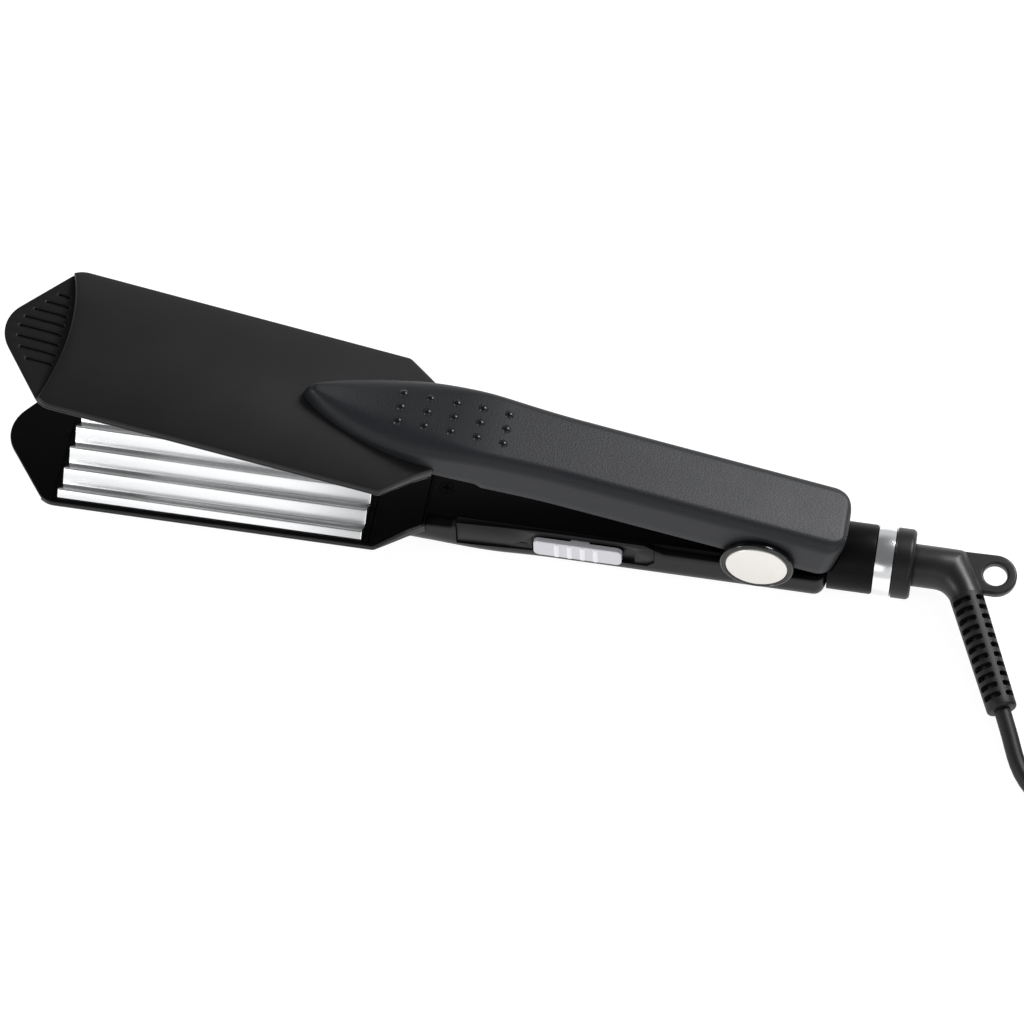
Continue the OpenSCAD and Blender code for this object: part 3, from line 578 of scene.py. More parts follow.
for s in (-9.3, 9.3):
    prof = [(156.0, 0), (156.0, 1.85), (148.2, 1.85), (147.4, 2.0)] + [(146 + 1.4 * (1 - math.cos(math.radians(a))), 2.0 * math.sin(math.radians(a))) for a in (80, 65, 50, 35, 20, 0)]
    tips.append(lathe(prof, "x", (30 + s, 6.85 - 20.6), 32))
pin = add("plug_pins_visual", tips, place_low, "lower_arm", "pins", "plug_metal", ["plug_pins"], 40)


def tie_band():
    cy, x0, x1 = -44.0, 166.0, 174.0
    path = rounded([(cy - 36.15, 0.42), (cy + 36.15, 0.42), (cy + 36.15, 11.2), (cy - 36.15, 11.2)], [2.1, 2.1, 2.6, 2.6], 8)
    dense = []
    for i in range(len(path)):
        a, b = np.array(path[i]), np.array(path[(i + 1) % len(path)])
        n = max(1, int(np.linalg.norm(b - a) / 3.0))
        dense += [tuple(a + (b - a) * k / n) for k in range(n)]
    out = inset(dense, 0.0)
    R = []
    for d, x in ((0.4, x0), (0.1, x0 + 0.25), (0.0, x0 + 0.7), (0.0, x0 + 4), (0.0, x1 - 0.7), (0.1, x1 - 0.25), (0.4, x1)):
        R.append([(x, p[0], p[1] - 20.6) for p in inset(dense, d - 0.4)])
    for d, x in ((0.45, x1), (0.5, x1 - 0.3), (0.5, x0 + 0.3), (0.45, x0)):
        R.append([(x, p[0], p[1] - 20.6) for p in inset(dense, d)])
    V, F = rings(R + [R[0]], True, False)
    # buckle tab on the top of the hank
    tab = rounded([(x0 - 1.6, -52), (x1 + 1.6, -52), (x1 + 1.6, -41), (x0 - 1.6, -41)], 1.6, 5)
    lo, hi = 11.45 - 20.6, 12.2 - 20.6
    tabs = rings([[(p[0], p[1], lo) for p in tab], [(p[0], p[1], hi - 0.3) for p in tab],
                  [(p[0], p[1], hi) for p in inset(tab, 0.35)]])
    return [(V, F), tabs]


tie = add("cord_tie_band", tie_band(), place_low, "lower_arm", "tie", "tie_plastic", ["cord_tie"], 40)


# ------------------------------------------------------------------ wave sections
PX1, PX0 = -125.6, -225.6
SHW, SIDE_X, APEX_X, REAR_X = 26.0, -230.0, -250.7, -121.5
CROWN_R = (26.0 ** 2 + 3.5 ** 2) / 7.0
CROWN_Z = 7.6 - CROWN_R
NOSE_HALF = math.atan2(SHW, SIDE_X - APEX_X)
NOSE_X = APEX_X + 12.4 * (1 / math.sin(NOSE_HALF) - 1)
PLAN = rounded([(APEX_X, 0), (SIDE_X, -SHW), (REAR_X, -SHW), (-112, -18), (-107, -14.6), (-107, 14.6), (-112, 18),
                (REAR_X, SHW), (SIDE_X, SHW)], [12.4, 7.0, 2.5, 4, 0, 0, 4, 2.5, 7.0], 14)


def crown(y):
    return CROWN_Z + math.sqrt(CROWN_R ** 2 - y * y)


def nose_edge(y):
    a = abs(y)
    return NOSE_X + 12.4 - math.sqrt(12.4 ** 2 - a * a) if a < 12.4 * math.cos(NOSE_HALF) else APEX_X + a * (SIDE_X - APEX_X) / SHW


def lift(loop, z):
    return [(p[0], p[1], z) for p in loop]


def frame_section(slots):
    """Tray rim with the nose deck: outline walls with rounded edges, the plate's opening and blind vent slots."""
    ih = SHW - 1.3
    well = [(PX0 - 1.75, -ih), (PX1 + 2.3, -ih), (PX1 + 2.3, ih), (PX0 - 1.75, ih)]
    loops, f, g = [], 0.5, 0.35
    for a in (0, 22.5, 45, 67.5, 90):
        loops.append(lift(inset(PLAN, f * (1 - math.sin(math.radians(a)))), 1.5 + f * (1 - math.cos(math.radians(a)))))
    for a in (0, 30, 60, 90):
        loops.append(lift(inset(PLAN, g * (1 - math.cos(math.radians(a)))), 2.7 - g * (1 - math.sin(math.radians(a)))))
    shells = [band(loops)]
    holes = []
    if slots:
        for y in (-10.5, -6.8, -3.0, 0.9, 4.5, 8.1, 11.8, 15.5):
            x0 = nose_edge(y) + 4.1
            x1 = min(SIDE_X + 0.5, -305.5 + math.sqrt(78 ** 2 - y * y) - 1.2)
            r = 0.55
            s = [(x0 + r + r * math.cos(math.radians(a)), y + r * math.sin(math.radians(a))) for a in range(90, 271, 30)]
            s += [(x1 - r + r * math.cos(math.radians(a)), y + r * math.sin(math.radians(a))) for a in range(-90, 91, 30)]
            holes.append(s)
    top_holes = [inset(s, -0.42) for s in holes]
    shells.append(flat_fill([loops[-1]] + [lift(h, 0) for h in top_holes] + [lift(well, 0)], 2.7))
    for s, t in zip(holes, top_holes):
        shells.append(band([lift(t, 2.7), lift(inset(s, -0.16), 2.58), lift(inset(s, -0.03), 2.4), lift(s, 2.2), lift(s, 1.95)]))
        shells.append(flat_fill([lift(s, 0)], 1.95))
    shells.append(flat_fill([loops[0], lift(well, 0)], 1.5))
    shells.append(band([lift(well, 1.5), lift(well, 2.7)]))
    return shells


def skin_outline():
    """The plan behind the curved front edge of the skin."""
    P = np.array(PLAN)
    C, R = np.array((PX0 - 79.9, 0.0)), 78.0
    d = np.linalg.norm(P - C, axis=1)
    keep = [tuple(p) for p, q in zip(P, d) if q > R + 0.35]
    # order starts after the nose arc on the near side
    start = next(i for i in range(len(P)) if d[i] > R + 0.35 and d[i - 1] <= R + 0.35)
    P2 = np.roll(P, -start, 0)
    d2 = np.roll(d, -start)
    keep = [tuple(p) for p, q in zip(P2, d2) if q > R + 0.35]

    def cross(a, b):
        a, b = np.array(a), np.array(b)
        for _ in range(40):
            m = (a + b) / 2
            if (np.linalg.norm(m - C) > R) == (np.linalg.norm(b - C) > R):
                b = m
            else:
                a = m
        return (a + b) / 2
    near = cross(P2[-1], P2[0]) if np.linalg.norm(P2[-1] - C) < R else P2[0]
    last = len(keep)
    far = cross(P2[last], P2[last - 1])
    a0 = math.atan2(far[1] - C[1], far[0] - C[0])
    a1 = math.atan2(near[1] - C[1], near[0] - C[0])
    front = [(C[0] + R * math.cos(a0 + (a1 - a0) * k / 120), C[1] + R * math.sin(a0 + (a1 - a0) * k / 120)) for k in range(121)]
    full = keep + front
    # points along the long straight sides
    out = []
    for i in range(len(full)):
        a, b = np.array(full[i]), np.array(full[(i + 1) % len(full)])
        if np.linalg.norm(b - a) < 0.12:
            continue
        n = max(1, int(np.linalg.norm(b - a) / 2.5))
        out += [tuple(a + (b - a) * k / n) for k in range(n)]
    return out


SKIN_PLAN = skin_outline()


def skin_shell():
    f = 0.95
    inner = inset(SKIN_PLAN, 1.45)
    loops = [lift(inset(SKIN_PLAN, 0.15), 2.8), lift(SKIN_PLAN, 2.95)]
    for a in (0, 15, 30, 45, 60, 75, 90):
        l = inset(SKIN_PLAN, f * (1 - math.cos(math.radians(a))))
        loops.append([(p[0], p[1], crown(p[1]) - f * (1 - math.sin(math.radians(a)))) for p in l])
    shells = [band(loops)]
    top = domed_fill(loops[-1], lambda x, y: crown(y), (2.4, 1.9))
    shells.append(top)
    low = flat_fill([lift(inset(SKIN_PLAN, 0.15), 0), lift(inner, 0)], 2.8)
    shells.append(low)
    under = lambda x, y: CROWN_Z + math.sqrt((CROWN_R - 1.5) ** 2 - y * y)
    shells.append(band([lift(inner, 2.8), [(p[0], p[1], max(3.0, under(p[0], p[1]))) for p in inner]]))
    shells.append(domed_fill(inner, lambda x, y: max(3.0, under(x, y)), (6.0, 4.0)))
    return shells


def wave_plate():
    hw, amp, wp = 24.5, 1.9, 49.0 / 6
    n = 240
    prof = []
    for k in range(n + 1):
        y = -hw + 2 * hw * k / n
        prof.append((y, amp * math.asin(0.965 * math.sin(2 * math.pi * y / wp)) / math.asin(0.965) + 0.3))
    prof += [(hw, 2.6), (20, 3.4), (-20, 3.4), (-hw, 2.6)]
    prof = np.array(prof)
    R = []
    for x, d in ((PX0, 0.22), (PX0 + 0.12, 0.06), (PX0 + 0.3, 0.0), (PX1 - 0.3, 0.0), (PX1 - 0.12, 0.06), (PX1, 0.22)):
        q = inset(prof, d) if d else prof
        R.append([(x, p[0], p[1]) for p in q])
    return [rings(R)]


for arm, place, body in (("lower", place_flip, "lower_arm"), ("upper", place_up, "upper_arm")):
    add(arm + "_skin_cover", skin_shell(), place, body, "skin", "skin_black", [arm + "_skin"], 32)
    add(arm + "_wave_plate", wave_plate(), place, body, "plate", "plate_aluminium", [arm + "_plate"], 38)
    tray = add(arm + "_tray", frame_section(True), place, body, "frame", "black_plastic", (), 32, True)
    # the closing side and the walls of the well take the darker inner black, painted shade for faces in the other
    # arm's shadow
    tray.data.materials.append(M["inner"])
    for f in tray.data.polygons:
        if arm == "lower":
            y, z = -f.center.y * 1000, 20.6 - f.center.z * 1000
        else:
            y = f.center.y * 1000
            z = (f.center.x * 1000 - ORIGIN[0]) * math.sin(OPEN) + (f.center.z * 1000 - ORIGIN[2]) * math.cos(OPEN)
        if abs(z - 1.5) < 0.02 or (abs(f.normal.z) < 0.3 and abs(y) < SHW - 1.28 and 1.5 < z < 2.7 and f.area > 3e-6):
            f.material_index = 1
    # the handle part of the frame, taken over from the CAD piece
    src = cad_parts[arm + "_frame"]
    me = src.data.copy()
    me.name = arm + "_channel"
    ob = bpy.data.objects.new(arm + "_channel", me)
    bpy.context.scene.collection.objects.link(ob)
    bm = bmesh.new()
    bm.from_mesh(me)
    cut_at = place([(-107.9, 0, 2.2)])[0]
    along = (place([(1, 0, 0)]) - place([(0, 0, 0)]))[0]
    bmesh.ops.remove_doubles(bm, verts=bm.verts, dist=1e-7)
    bmesh.ops.bisect_plane(bm, geom=list(bm.verts) + list(bm.edges) + list(bm.faces), plane_co=Vector(cut_at),
                           plane_no=Vector(along).normalized(), clear_inner=True)
    bmesh.ops.holes_fill(bm, edges=[e for e in bm.edges if e.is_boundary], sides=0)
    bmesh.ops.recalc_face_normals(bm, faces=bm.faces)
    bm.to_mesh(me)
    bm.free()
    # the channel takes the darker inner black, painted shade
    me.materials.clear()
    me.materials.append(M["inner"])
    finish_mesh(ob)
    wear(ob, body, [arm + "_frame"])


# ------------------------------------------------------------------ grips
TIP_X = -152.1


def tear_w(x):
    if x < -110.4:
        return 14.1 * max(0.0, 1 - max(0.0, (-110.4 - x) / (-110.4 - TIP_X)) ** 1.8) ** 0.72
    return mix(14.1, 12.4, smooth((x + 110.4) / 44.4))


def tail_off(v, x, x1, r):
    return v - r + math.sqrt(max(0.0, r * r - (x - x1 + r) ** 2)) if x > x1 - r else v


def blunt(h, x):
    return 7.5 + (h - 7.5) * math.sqrt(max(0.0, 1 - ((-148.5 - x) / 3.6) ** 2)) if x < -148.5 else h


def upper_h(x):
    return blunt(13.2 + 4.4 * smooth((x + 142) / 54), x)


def lower_h(x):
    return blunt(13.3 + 7.6 * smooth((x + 146) / 38), x)


def grip_ring(x, w, h, foot, ry, rz, f, cut=None):
    half = []
    f = min(f, 0.4 * w)
    for a in (0, 30, 60, 90):
        half.append((w - f + f * math.sin(math.radians(a)), foot + f - f * math.cos(math.radians(a))))
    zs = h - rz
    for k in (1, 2, 3):
        half.append((w, mix(foot + f, zs, k / 4)))
    for k in range(0, 15):
        a = math.radians(90 * k / 14)
        half.append((w - ry + ry * math.cos(a), zs + rz * math.sin(a)))
    for k in (1, 2, 3):
        half.append(((w - ry) * (1 - k / 4), h))
    pts = [(x, -y, z) for y, z in half] + [(x, 0.0, h)] + [(x, y, z) for y, z in half[::-1]]
    if cut is not None:
        pts = [(p[0], p[1], min(p[2], cut)) for p in pts]
    return pts


def stations(x1, rt, extra):
    X = [TIP_X + 0.03 + 12.0 * (k / 26) ** 2 for k in range(27)]
    X += list(np.arange(-139.0, -88.0, 1.3)) + list(np.arange(-88.0, x1 - rt - 1.5, 3.0)) + list(extra)
    X += [x1 - rt + rt * math.sin(math.radians(90 * k / 14)) for k in range(15)]
    X = sorted(set(round(x, 3) for x in X))
    return [x for i, x in enumerate(X) if i == 0 or x - X[i - 1] > 0.012]


def upper_foot(x):
    if x < -106.9:
        return crown(min(tear_w(x), 25.0)) - 0.35
    return mix(3.0, 1.5, smooth((x + 93.5) / 3.0))


def upper_grip():
    R = []
    for x in stations(24.4, 6.5, [-106.95, -106.85, -93.5, -92.5, -91.5, -90.5]):
        w, h = tail_off(max(0.35, tear_w(x)), x, 24.4, 6.5), tail_off(upper_h(x), x, 24.4, 2.5)
        s = smooth((x + 128) / 36)
        ry, rz = min(mix(0.8 * w, 4, s), w - 0.1), min(mix(6, 4.2, s), h - 3)
        R.append(grip_ring(x, w, h, min(upper_foot(x), h - 1), ry, min(rz, h - upper_foot(x) - 0.6), 0.02 if x < -106.9 else 0.45))
    return [rings(R)]


def lower_foot(x):
    if x < -106.9:
        return crown(min(tear_w(x), 25.0)) - 0.35
    z = mix(3.0, 0.8, smooth((x + 98.5) / 3.0))
    if x > -37:
        z = mix(0.8, 4.2, min(1.0, (x + 37) / 7))
    return 7.2 if x > 9.95 else z


def lower_grip():
    R = []
    for x in stations(22.0, 4.0, [-106.95, -106.85, -98.5, -97.5, -96.5, -95.5, -37.6, -37, -36.4, -30.6, -30, -29.4, 9.85, 10.05]):
        w, h = tail_off(max(0.35, tear_w(x)), x, 22.0, 4.0), tail_off(lower_h(x), x, 22.0, 3.0)
        r = 8.2 + 5.6 * smooth((-80 - x) / 35)
        foot = min(lower_foot(x), h - 1)
        ry, rz = min(r, 0.93 * w, w - 0.1), min(r + 0.2, h - 4, h - foot - 0.8)
        R.append(grip_ring(x, w, h, foot, ry, rz, 0.02 if x < -106.9 else 0.5, 20.6))
    return [rings(R)]


grip = make("upper_grip_cover", upper_grip(), place_up, M["soft"])
cav = [(-10.6, -1), (10.6, -1), (10.6, 12.8), (8, 15.2), (-8, 15.2), (-10.6, 12.8)]
carve(grip, [
    make("cut", [rings([[(-130.0, p[0], p[1]) for p in ((-9.3, -1), (9.3, -1), (9.3, 9.3), (5, 11.6), (-5, 11.6), (-9.3, 9.3))],
                        [(-107.0, p[0], p[1]) for p in ((-9.3, -1), (9.3, -1), (9.3, 9.3), (5, 11.6), (-5, 11.6), (-9.3, 9.3))]])], place_up, None),
    make("cut", [rings([[(-107.05, p[0], p[1]) for p in cav], [(17.9, p[0], p[1]) for p in cav],
                        [(22.4, 0.604 * p[0], p[1]) for p in cav]])], place_up, None),
    make("cut", [lathe([(-15, 0), (-15, 2.6), (15, 2.6), (15, 0)], "y", (0, 0), 40)], place_up, None)])
wear(grip, "upper_arm", ["upper_grip"])

shell = make("lower_grip_shell", lower_grip(), place_flip, M["shell"])
lcav = [(-10.6, -1), (10.6, -1), (10.6, 12), (8, 15.6), (4.3, 18.8), (-4.3, 18.8), (-8, 15.6), (-10.6, 12)]
fcav = [(-9, -1), (9, -1), (9, 9.5), (3.2, 13), (-3.2, 13), (-9, 9.5)]
carve(shell, [
    make("cut", [prism(fcav, -128, -107, "x")], place_flip, None),
    make("cut", [prism(lcav, -107.05, 19.6, "x")], place_flip, None),
    make("cut", [prism([(-97.1, -12.1), (-35.2, -12.1), (-32.9, -9.6), (-32.9, 2), (-97.1, 2)], -20, -10.55, "y")], place_low, None),
    make("cut", [lathe([(12, 0), (12, 8.85), (30, 8.85), (30, 0)], "x", (0, AXIS_Z), 64)], place_low, None)])
wear(shell, "lower_arm", ["lower_grip"])

# raised dots, each a small dome with a soft foot
dots = []
for i in range(5):
    for j in (-1, 0, 1):
        x, y = -121.7 + 8.39 * i, 5.5 * j
        z = upper_h(x) - (0.02 if j == 0 else 0.27 - 0.24 * smooth(i / 3))
        slope = (upper_h(x + 0.5) - upper_h(x - 0.5))
        prof = [(-0.6, 0.0)] + [(1.75 * math.cos(math.radians(a)) - 0.9, 1.75 * math.sin(math.radians(a))) for a in (80, 70, 59, 50, 41, 32, 23, 14, 6)] + [(0.85, 0.0)]
        V, F = lathe(prof, "z", (0, 0), 24)
        ly = -0.05 * y * (1 - smooth(i / 3))
        V = [(x + v[0], y + v[1], z + v[2] + slope * v[0] + ly * v[1]) for v in V]
        dots.append((V, F))
add("grip_dots", dots, place_up, "upper_arm", "dots", "soft_grip", (), 50)

# ------------------------------------------------------------------ switch panel and slider
panel = make("switch_panel_insert", [prism([(-96.9, -10.7), (-96.9, -13.1), (-82, -12.45), (-66, -12.0), (-33.1, -12.0), (-33.1, -10.7)],
                                           -12.0, -1.0, "z")], place_low, M["panel"])
pocket = [(p[0], p[1]) for p in rounded([(-72.6, -13.6), (-39.3, -13.6), (-39.3, -3.45), (-72.6, -3.45)], 1.7, 6)]
carve(panel, [
    make("cut", [prism(pocket, -14, -11.3, "y")], place_low, None),
    make("cut", [prism([(-37.3, -0.5), (-32.9, -3.05), (-32, -3.05), (-32, 1), (-37.3, 1)], -14, -9, "y")], place_low, None),
    make("cut", [prism([(-34.9, -12.2), (-32.6, -9.6), (-32.6, -13)], -14, -9, "y")], place_low, None),
    make("cut", [block((-60.3, -13, -5.9), (-50.7, -9, -3.7))], place_low, None),
    make("cut", [block((-76.6, -14, -8.6), (-74.0, -12.0, -8.3))], place_low, None)])
bevel(panel, 0.16, 2, 40)
wear(panel, "lower_arm", ["switch_panel"])

face = [(p[0], p[1]) for p in rounded([(-71.9, -11.7), (-43.3, -11.7), (-43.3, -4.0), (-71.9, -4.0)], 1.9, 8)]
fl = []
for a in (0, 22.5, 45, 67.5, 90):
    d = 0.5 * (1 - math.cos(math.radians(a)))
    fl.append([(p[0], -13.6 - 0.4 * math.sin(math.radians(a)), p[1]) for p in inset(face, d)])
body_part = rings([[(p[0], -12.25, p[1]) for p in face]] + fl)
ribs = []
for x in (-64.3, -60.1, -55.9, -51.7):
    prof = [(-0.95, -13.8), (-0.95, -13.95), (-0.8, -14.15), (-0.55, -14.32), (-0.25, -14.4), (0.25, -14.4), (0.55, -14.32), (0.8, -14.15), (0.95, -13.95), (0.95, -13.8)]
    R = []
    for z, g in ((-11.42, 0.5), (-11.3, 0.25), (-11.05, 0.06), (-10.8, 0.0), (-4.9, 0.0), (-4.65, 0.06), (-4.4, 0.25), (-4.28, 0.5)):
        R.append([(x + p[0] * (1 - 0.12 * g), min(-13.8, p[1] + g), z) for p in prof])
    ribs.append(rings(R))
add("slider_knob", [body_part, block((-60, -12.4, -5.6), (-54, -9, -4.05))], place_low, "switch", "slider", "slider_silver",
    ["switch_slider"], 40)
# the ribs take the lighter rib colour, a painted highlight
add("slider_ribs", ribs, place_low, "switch", "rib_highlight", "slider_silver", (), 40)


# ------------------------------------------------------------------ pivots
def bezel_profile():
    p = [(12.55, 2.1), (12.55, 11.5)] + [(12.85 - 0.3 * math.cos(math.radians(a)), 11.5 + 0.3 * math.sin(math.radians(a))) for a in (30, 60, 90)]
    p += [(14.0 + 0.7 * math.sin(math.radians(a)), 11.1 + 0.7 * math.cos(math.radians(a))) for a in (0, 20, 40, 60, 80, 90)]
    p += [(14.7, 10.95), (14.58, 10.88), (14.58, 10.76), (14.7, 10.7), (14.7, 10.32), (14.62, 10.14), (14.4, 10.05), (13.9, 10.05), (13.9, 2.1)]
    return p


def cap_profile():
    p = [(13.93, 0.0), (13.93, 9.85), (14.5, 9.85)]
    p += [(14.5 + 0.35 * math.sin(math.radians(a)), 9.5 + 0.35 * math.cos(math.radians(a))) for a in (30, 60, 90)]
    p += [(14.98, 8.6), (15.1, 7.4), (15.22, 6.0), (15.31, 4.6), (15.37, 3.0), (15.4, 1.4), (15.4, 0.0)]
    return p


for side, s in (("near", -1), ("far", 1)):
    add("pivot_bezel_ring_" + side, [lathe([(s * t, r) for t, r in bezel_profile()], "y", (0, 0), 128)], place_low, "lower_arm", "gloss",
        "gloss_black", ["pivot_bezel_" + side], 30)
    add("pivot_cap_disc_" + side, [lathe([(s * t, r) for t, r in cap_profile()], "y", (0, 0), 128)], place_low, "lower_arm", "cap",
        "cap_satin", ["pivot_cap_" + side], 30)

# ------------------------------------------------------------------ neck, ring and end collar
neck = make("neck_sleeve", [lathe([(8, 3.0), (8, 8.8), (22.15, 8.8), (22.15, 10.9)] + arc((22.45, 10.9), 0.3, 180, 90, 3) + [(35.9, 11.2)]
                                  + arc((35.9, 10.7), 0.5, 90, 0, 4) + [(36.4, 10.2), (42.5, 10.2), (42.5, 8.5), (26, 8.5), (26, 3.0)],
                                  "x", (0, AXIS_Z), 96)], place_low, M["neck"])
tail_plan = rounded([(-5, -12.9), (24.85, -12.9), (24.85, 12.9), (-5, 12.9)], [0, 6.9, 6.9, 0], 12)
carve(neck, [make("cut", [prism(tail_plan, 1.1, 25, "z")], place_up, None)])
bevel(neck, 0.2, 2, 50)
wear(neck, "lower_arm", ["neck_tube"])
add("neck_trim_ring", [lathe([(36.5, 10.22), (36.5, 10.95), (36.72, 11.25), (37.3, 11.32), (38.6, 11.38), (39.5, 11.4), (40.4, 11.38), (41.6, 11.32),
                              (42.2, 11.25), (42.45, 10.95), (42.45, 10.22)], "x", (0, AXIS_Z), 128)],
    place_low, "lower_arm", "ring", "ring_bright", ["neck_ring"], 40)
add("end_collar", [lathe([(42.6, 5.55), (42.6, 11.05), (42.85, 11.3), (47.2, 11.3)] + arc((47.2, 9.8), 1.5, 90, 0, 8)[1:] +
                         [(48.7, 7.5), (48.55, 7.26), (48.3, 7.2), (47.6, 7.2), (47.6, 5.55)], "x", (0, AXIS_Z), 96)],
    place_low, "lower_arm", "frame", "black_plastic", ["end_cap"], 35)


# ------------------------------------------------------------------ swivel: elbow, hang eye, strain relief
FILLET = 6.7
FAN = np.array((55.67, -6.85 - FILLET))
FLANK = np.array((13.6, 7.08)) / math.hypot(13.6, 7.08)


def elbow():
    """Round tube with a flat top line and a tight outer corner: sections fan round the inner fillet's centre."""
    n, R = 64, []
    for x, r in ((47.98, 6.3), (48.08, 6.55), (48.28, 6.76), (48.6, 6.85), (50.5, 6.85), (53.0, 6.85)):
        R.append([(x, r * math.cos(2 * math.pi * k / n), r * math.sin(2 * math.pi * k / n)) for k in range(n)])
    deg = math.degrees(BEND_A)
    for a in sorted(set([i * 3.0 for i in range(6)] + [16 + i * 0.9 for i in range(18)] + [32, 35, 39, 44, 50, 56, 62, deg])):
        d = np.array((math.sin(math.radians(a)), math.cos(math.radians(a))))
        t1 = (6.85 - FAN[1]) / d[1]
        t2 = (60.464 - FAN @ FLANK) / (d @ FLANK)
        t = 20 - math.log(math.exp(-2 * (t1 - 20)) + math.exp(-2 * (t2 - 20))) / 2
        c, u = FAN + d * (t + FILLET) / 2, (t - FILLET) / 2
        w = mix(6.85, 5.35, smooth(a / deg))
        R.append([(c[0] + d[0] * u * math.cos(2 * math.pi * k / n), c[1] + d[1] * u * math.cos(2 * math.pi * k / n),
                   w * math.sin(2 * math.pi * k / n)) for k in range(n)])
    return rings(R)


def hang_eye():
    """Flat eye: straight flanks from the elbow to a round end, with a hole, edges rounded."""
    r, c = 6.9, (74.8, 0.0)
    outline = [(58.5, -6.6)] + [(c[0] + r * math.cos(math.radians(a)), c[1] + r * math.sin(math.radians(a))) for a in range(-90, 91, 6)] + [(58.5, 6.6)]
    hole = [(c[0] + 3.8 * math.cos(math.radians(a)), c[1] + 3.8 * math.sin(math.radians(a))) for a in range(0, 360, 8)]
    f, shells = 0.7, []
    outer, inner = [], []
    for sgn, angles in ((-1, (90, 67.5, 45, 22.5, 0)), (1, (0, 22.5, 45, 67.5, 90))):
        for a in angles:
            z = sgn * (1.5 - f + f * math.sin(math.radians(a)))
            d = f * (1 - math.cos(math.radians(a)))
            outer.append(lift(inset(outline, d), z))
            inner.append(lift(inset(hole, -d), z))
    shells.append(band(outer))
    shells.append(band(inner))
    shells.append(flat_fill([outer[0], inner[0]], -1.5))
    shells.append(flat_fill([outer[-1], inner[-1]], 1.5))
    return shells


add("swivel_body", [elbow()], place_swivel, "swivel", "swivel", "swivel_black", ["swivel_elbow"], 40)
add("hang_eye_tab", hang_eye(), place_swivel, "swivel", "swivel", "swivel_black", (), 32, True)


def relief_cone():
    prof = [(9.6, 0.0), (9.6, 5.33)] + [(s, 5.35 - 0.013 * (s - 9.6)) for s in np.arange(10.2, 48.6, 1.2)] + [(49.0, 4.75), (49.3, 4.5), (49.4, 4.2), (49.4, 0.0)]
    return lathe(prof, "z", (0, 0), 96)


SPINE = 15.0


def relief_windows():
    """Rows of round-ended slots between four lengthwise ribs, eleven in a row."""
    out = []
    for i in range(11):
        c = 9.6 + 3.35 * i + 1.45 + 0.95
        for a0, a1 in ((-90, -12), (8, 56), (90, 168), (-168, -124)):
            n = 18
            R = []
            for k in range(n + 1):
                a = mix(a0, a1, 0.5 - 0.5 * math.cos(math.pi * k / n))
                end = min(a - a0, a1 - a) * math.pi / 180 * 5.3
                h = 1.02 * (math.sqrt(max(0.0, 1 - (1 - min(1.0, end / 0.8)) ** 2)) * 0.72 + 0.28)
                t = math.radians(a + SPINE)
                # local x points down out of the elbow's plane, local y outwards across it
                R.append([(-math.cos(t) * r, math.sin(t) * r, c + g) for r, g in ((2.85, -h * 0.86), (7.0, -h), (7.0, h), (2.85, h * 0.86))])
            out.append(rings(R))
    return out


relief = make("strain_relief_body", [relief_cone()], place_relief, M["rubber"], 35)
carve(relief, [make("cut", relief_windows(), place_relief, None)], angle=35)
bevel(relief, 0.12, 2, 45, 40)
wear(relief, "swivel", ["strain_relief"])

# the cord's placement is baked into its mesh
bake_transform(cord)


# ------------------------------------------------------------------ stage and light
def floor_material():
    m = bpy.data.materials.new("floor_pale")
    m.use_nodes = True
    b = m.node_tree.nodes["Principled BSDF"]
    b.inputs["Base Color"].default_value = (0.3, 0.3, 0.3, 1)
    b.inputs["Roughness"].default_value = 0.9
    b.inputs["Specular IOR Level"].default_value = 0.1
    b.inputs["Emission Color"].default_value = (1, 1, 1, 1)
    b.inputs["Emission Strength"].default_value = 0.88
    return m


fm = bpy.data.meshes.new("floor")
fm.from_pydata([(-6, -6, 0), (6, -6, 0), (6, 6, 0), (-6, 6, 0)], [], [(0, 1, 2, 3)])
floor = bpy.data.objects.new("floor", fm)
bpy.context.scene.collection.objects.link(floor)
fm.materials.append(floor_material())


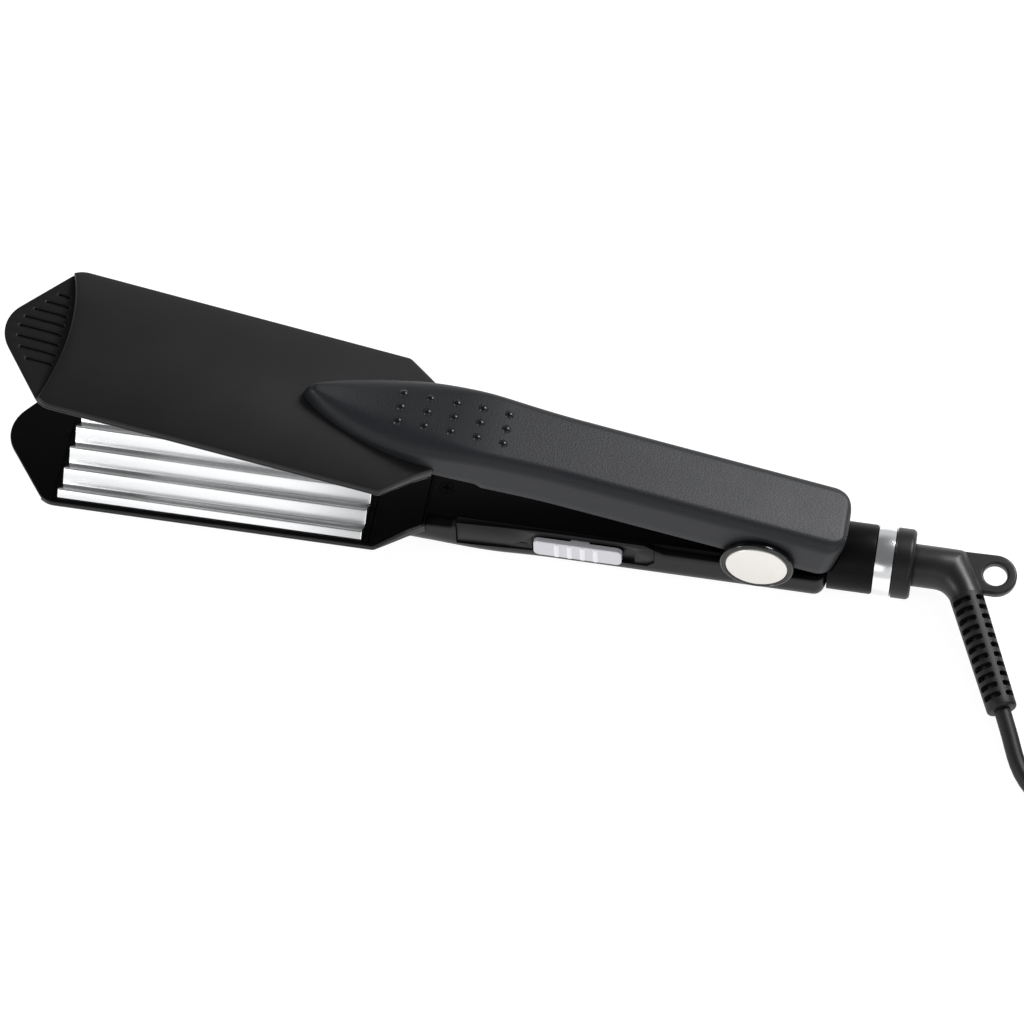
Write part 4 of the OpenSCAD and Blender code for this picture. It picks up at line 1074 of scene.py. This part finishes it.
def area(name, at, to, size, power, colour=(1, 1, 1)):
    d = bpy.data.lights.new(name, "AREA")
    d.shape, d.size, d.size_y, d.energy, d.color = "RECTANGLE", size[0], size[1], power, colour
    o = bpy.data.objects.new(name, d)
    bpy.context.scene.collection.objects.link(o)
    o.location = at
    o.rotation_mode = "QUATERNION"
    o.rotation_quaternion = (Vector(to) - Vector(at)).to_track_quat("-Z", "Y")
    return o


area("front_soft", (-0.6, -1.35, 0.98), (-0.05, 0, 0.02), (1.5, 0.6), 3.1)
area("left_soft", (-1.18, -0.78, 0.74), (-0.08, 0, 0.05), (0.35, 0.35), 5.5)
area("right_back", (0.46, 0.39, 0.57), (0.1, 0, 0.02), (0.3, 0.3), 6.3)
area("right_front", (0.55, -0.6, 0.35), (0.1, 0, 0.02), (0.45, 0.45), 1.1)

# Plain studio surround: dim overhead, pale walls lower down, palest in front
world = bpy.data.worlds.new("world")
bpy.context.scene.world = world
world.use_nodes = True
WN, WL = world.node_tree.nodes, world.node_tree.links
wc = WN.new("ShaderNodeTexCoord")
ws = WN.new("ShaderNodeSeparateXYZ")
WL.new(wc.outputs["Generated"], ws.inputs[0])


def wmap(src, lo, hi, a, b):
    n = WN.new("ShaderNodeMapRange")
    n.interpolation_type = "SMOOTHSTEP"
    n.inputs["From Min"].default_value, n.inputs["From Max"].default_value = lo, hi
    n.inputs["To Min"].default_value, n.inputs["To Max"].default_value = a, b
    WL.new(src, n.inputs["Value"])
    return n.outputs["Result"]


up_part = wmap(ws.outputs["Z"], 0.35, 0.8, 1.0, 0.0)
front_part = wmap(ws.outputs["Y"], -0.5, 0.5, 0.57, 0.45)
prod = WN.new("ShaderNodeMath")
prod.operation = "MULTIPLY_ADD"
WL.new(up_part, prod.inputs[0])
WL.new(front_part, prod.inputs[1])
prod.inputs[2].default_value = 0.18
bg = WN["Background"]
bg.inputs["Color"].default_value = (0.98, 0.99, 1.0, 1)
WL.new(prod.outputs[0], bg.inputs["Strength"])
bpy.context.scene.view_settings.view_transform = "Standard"
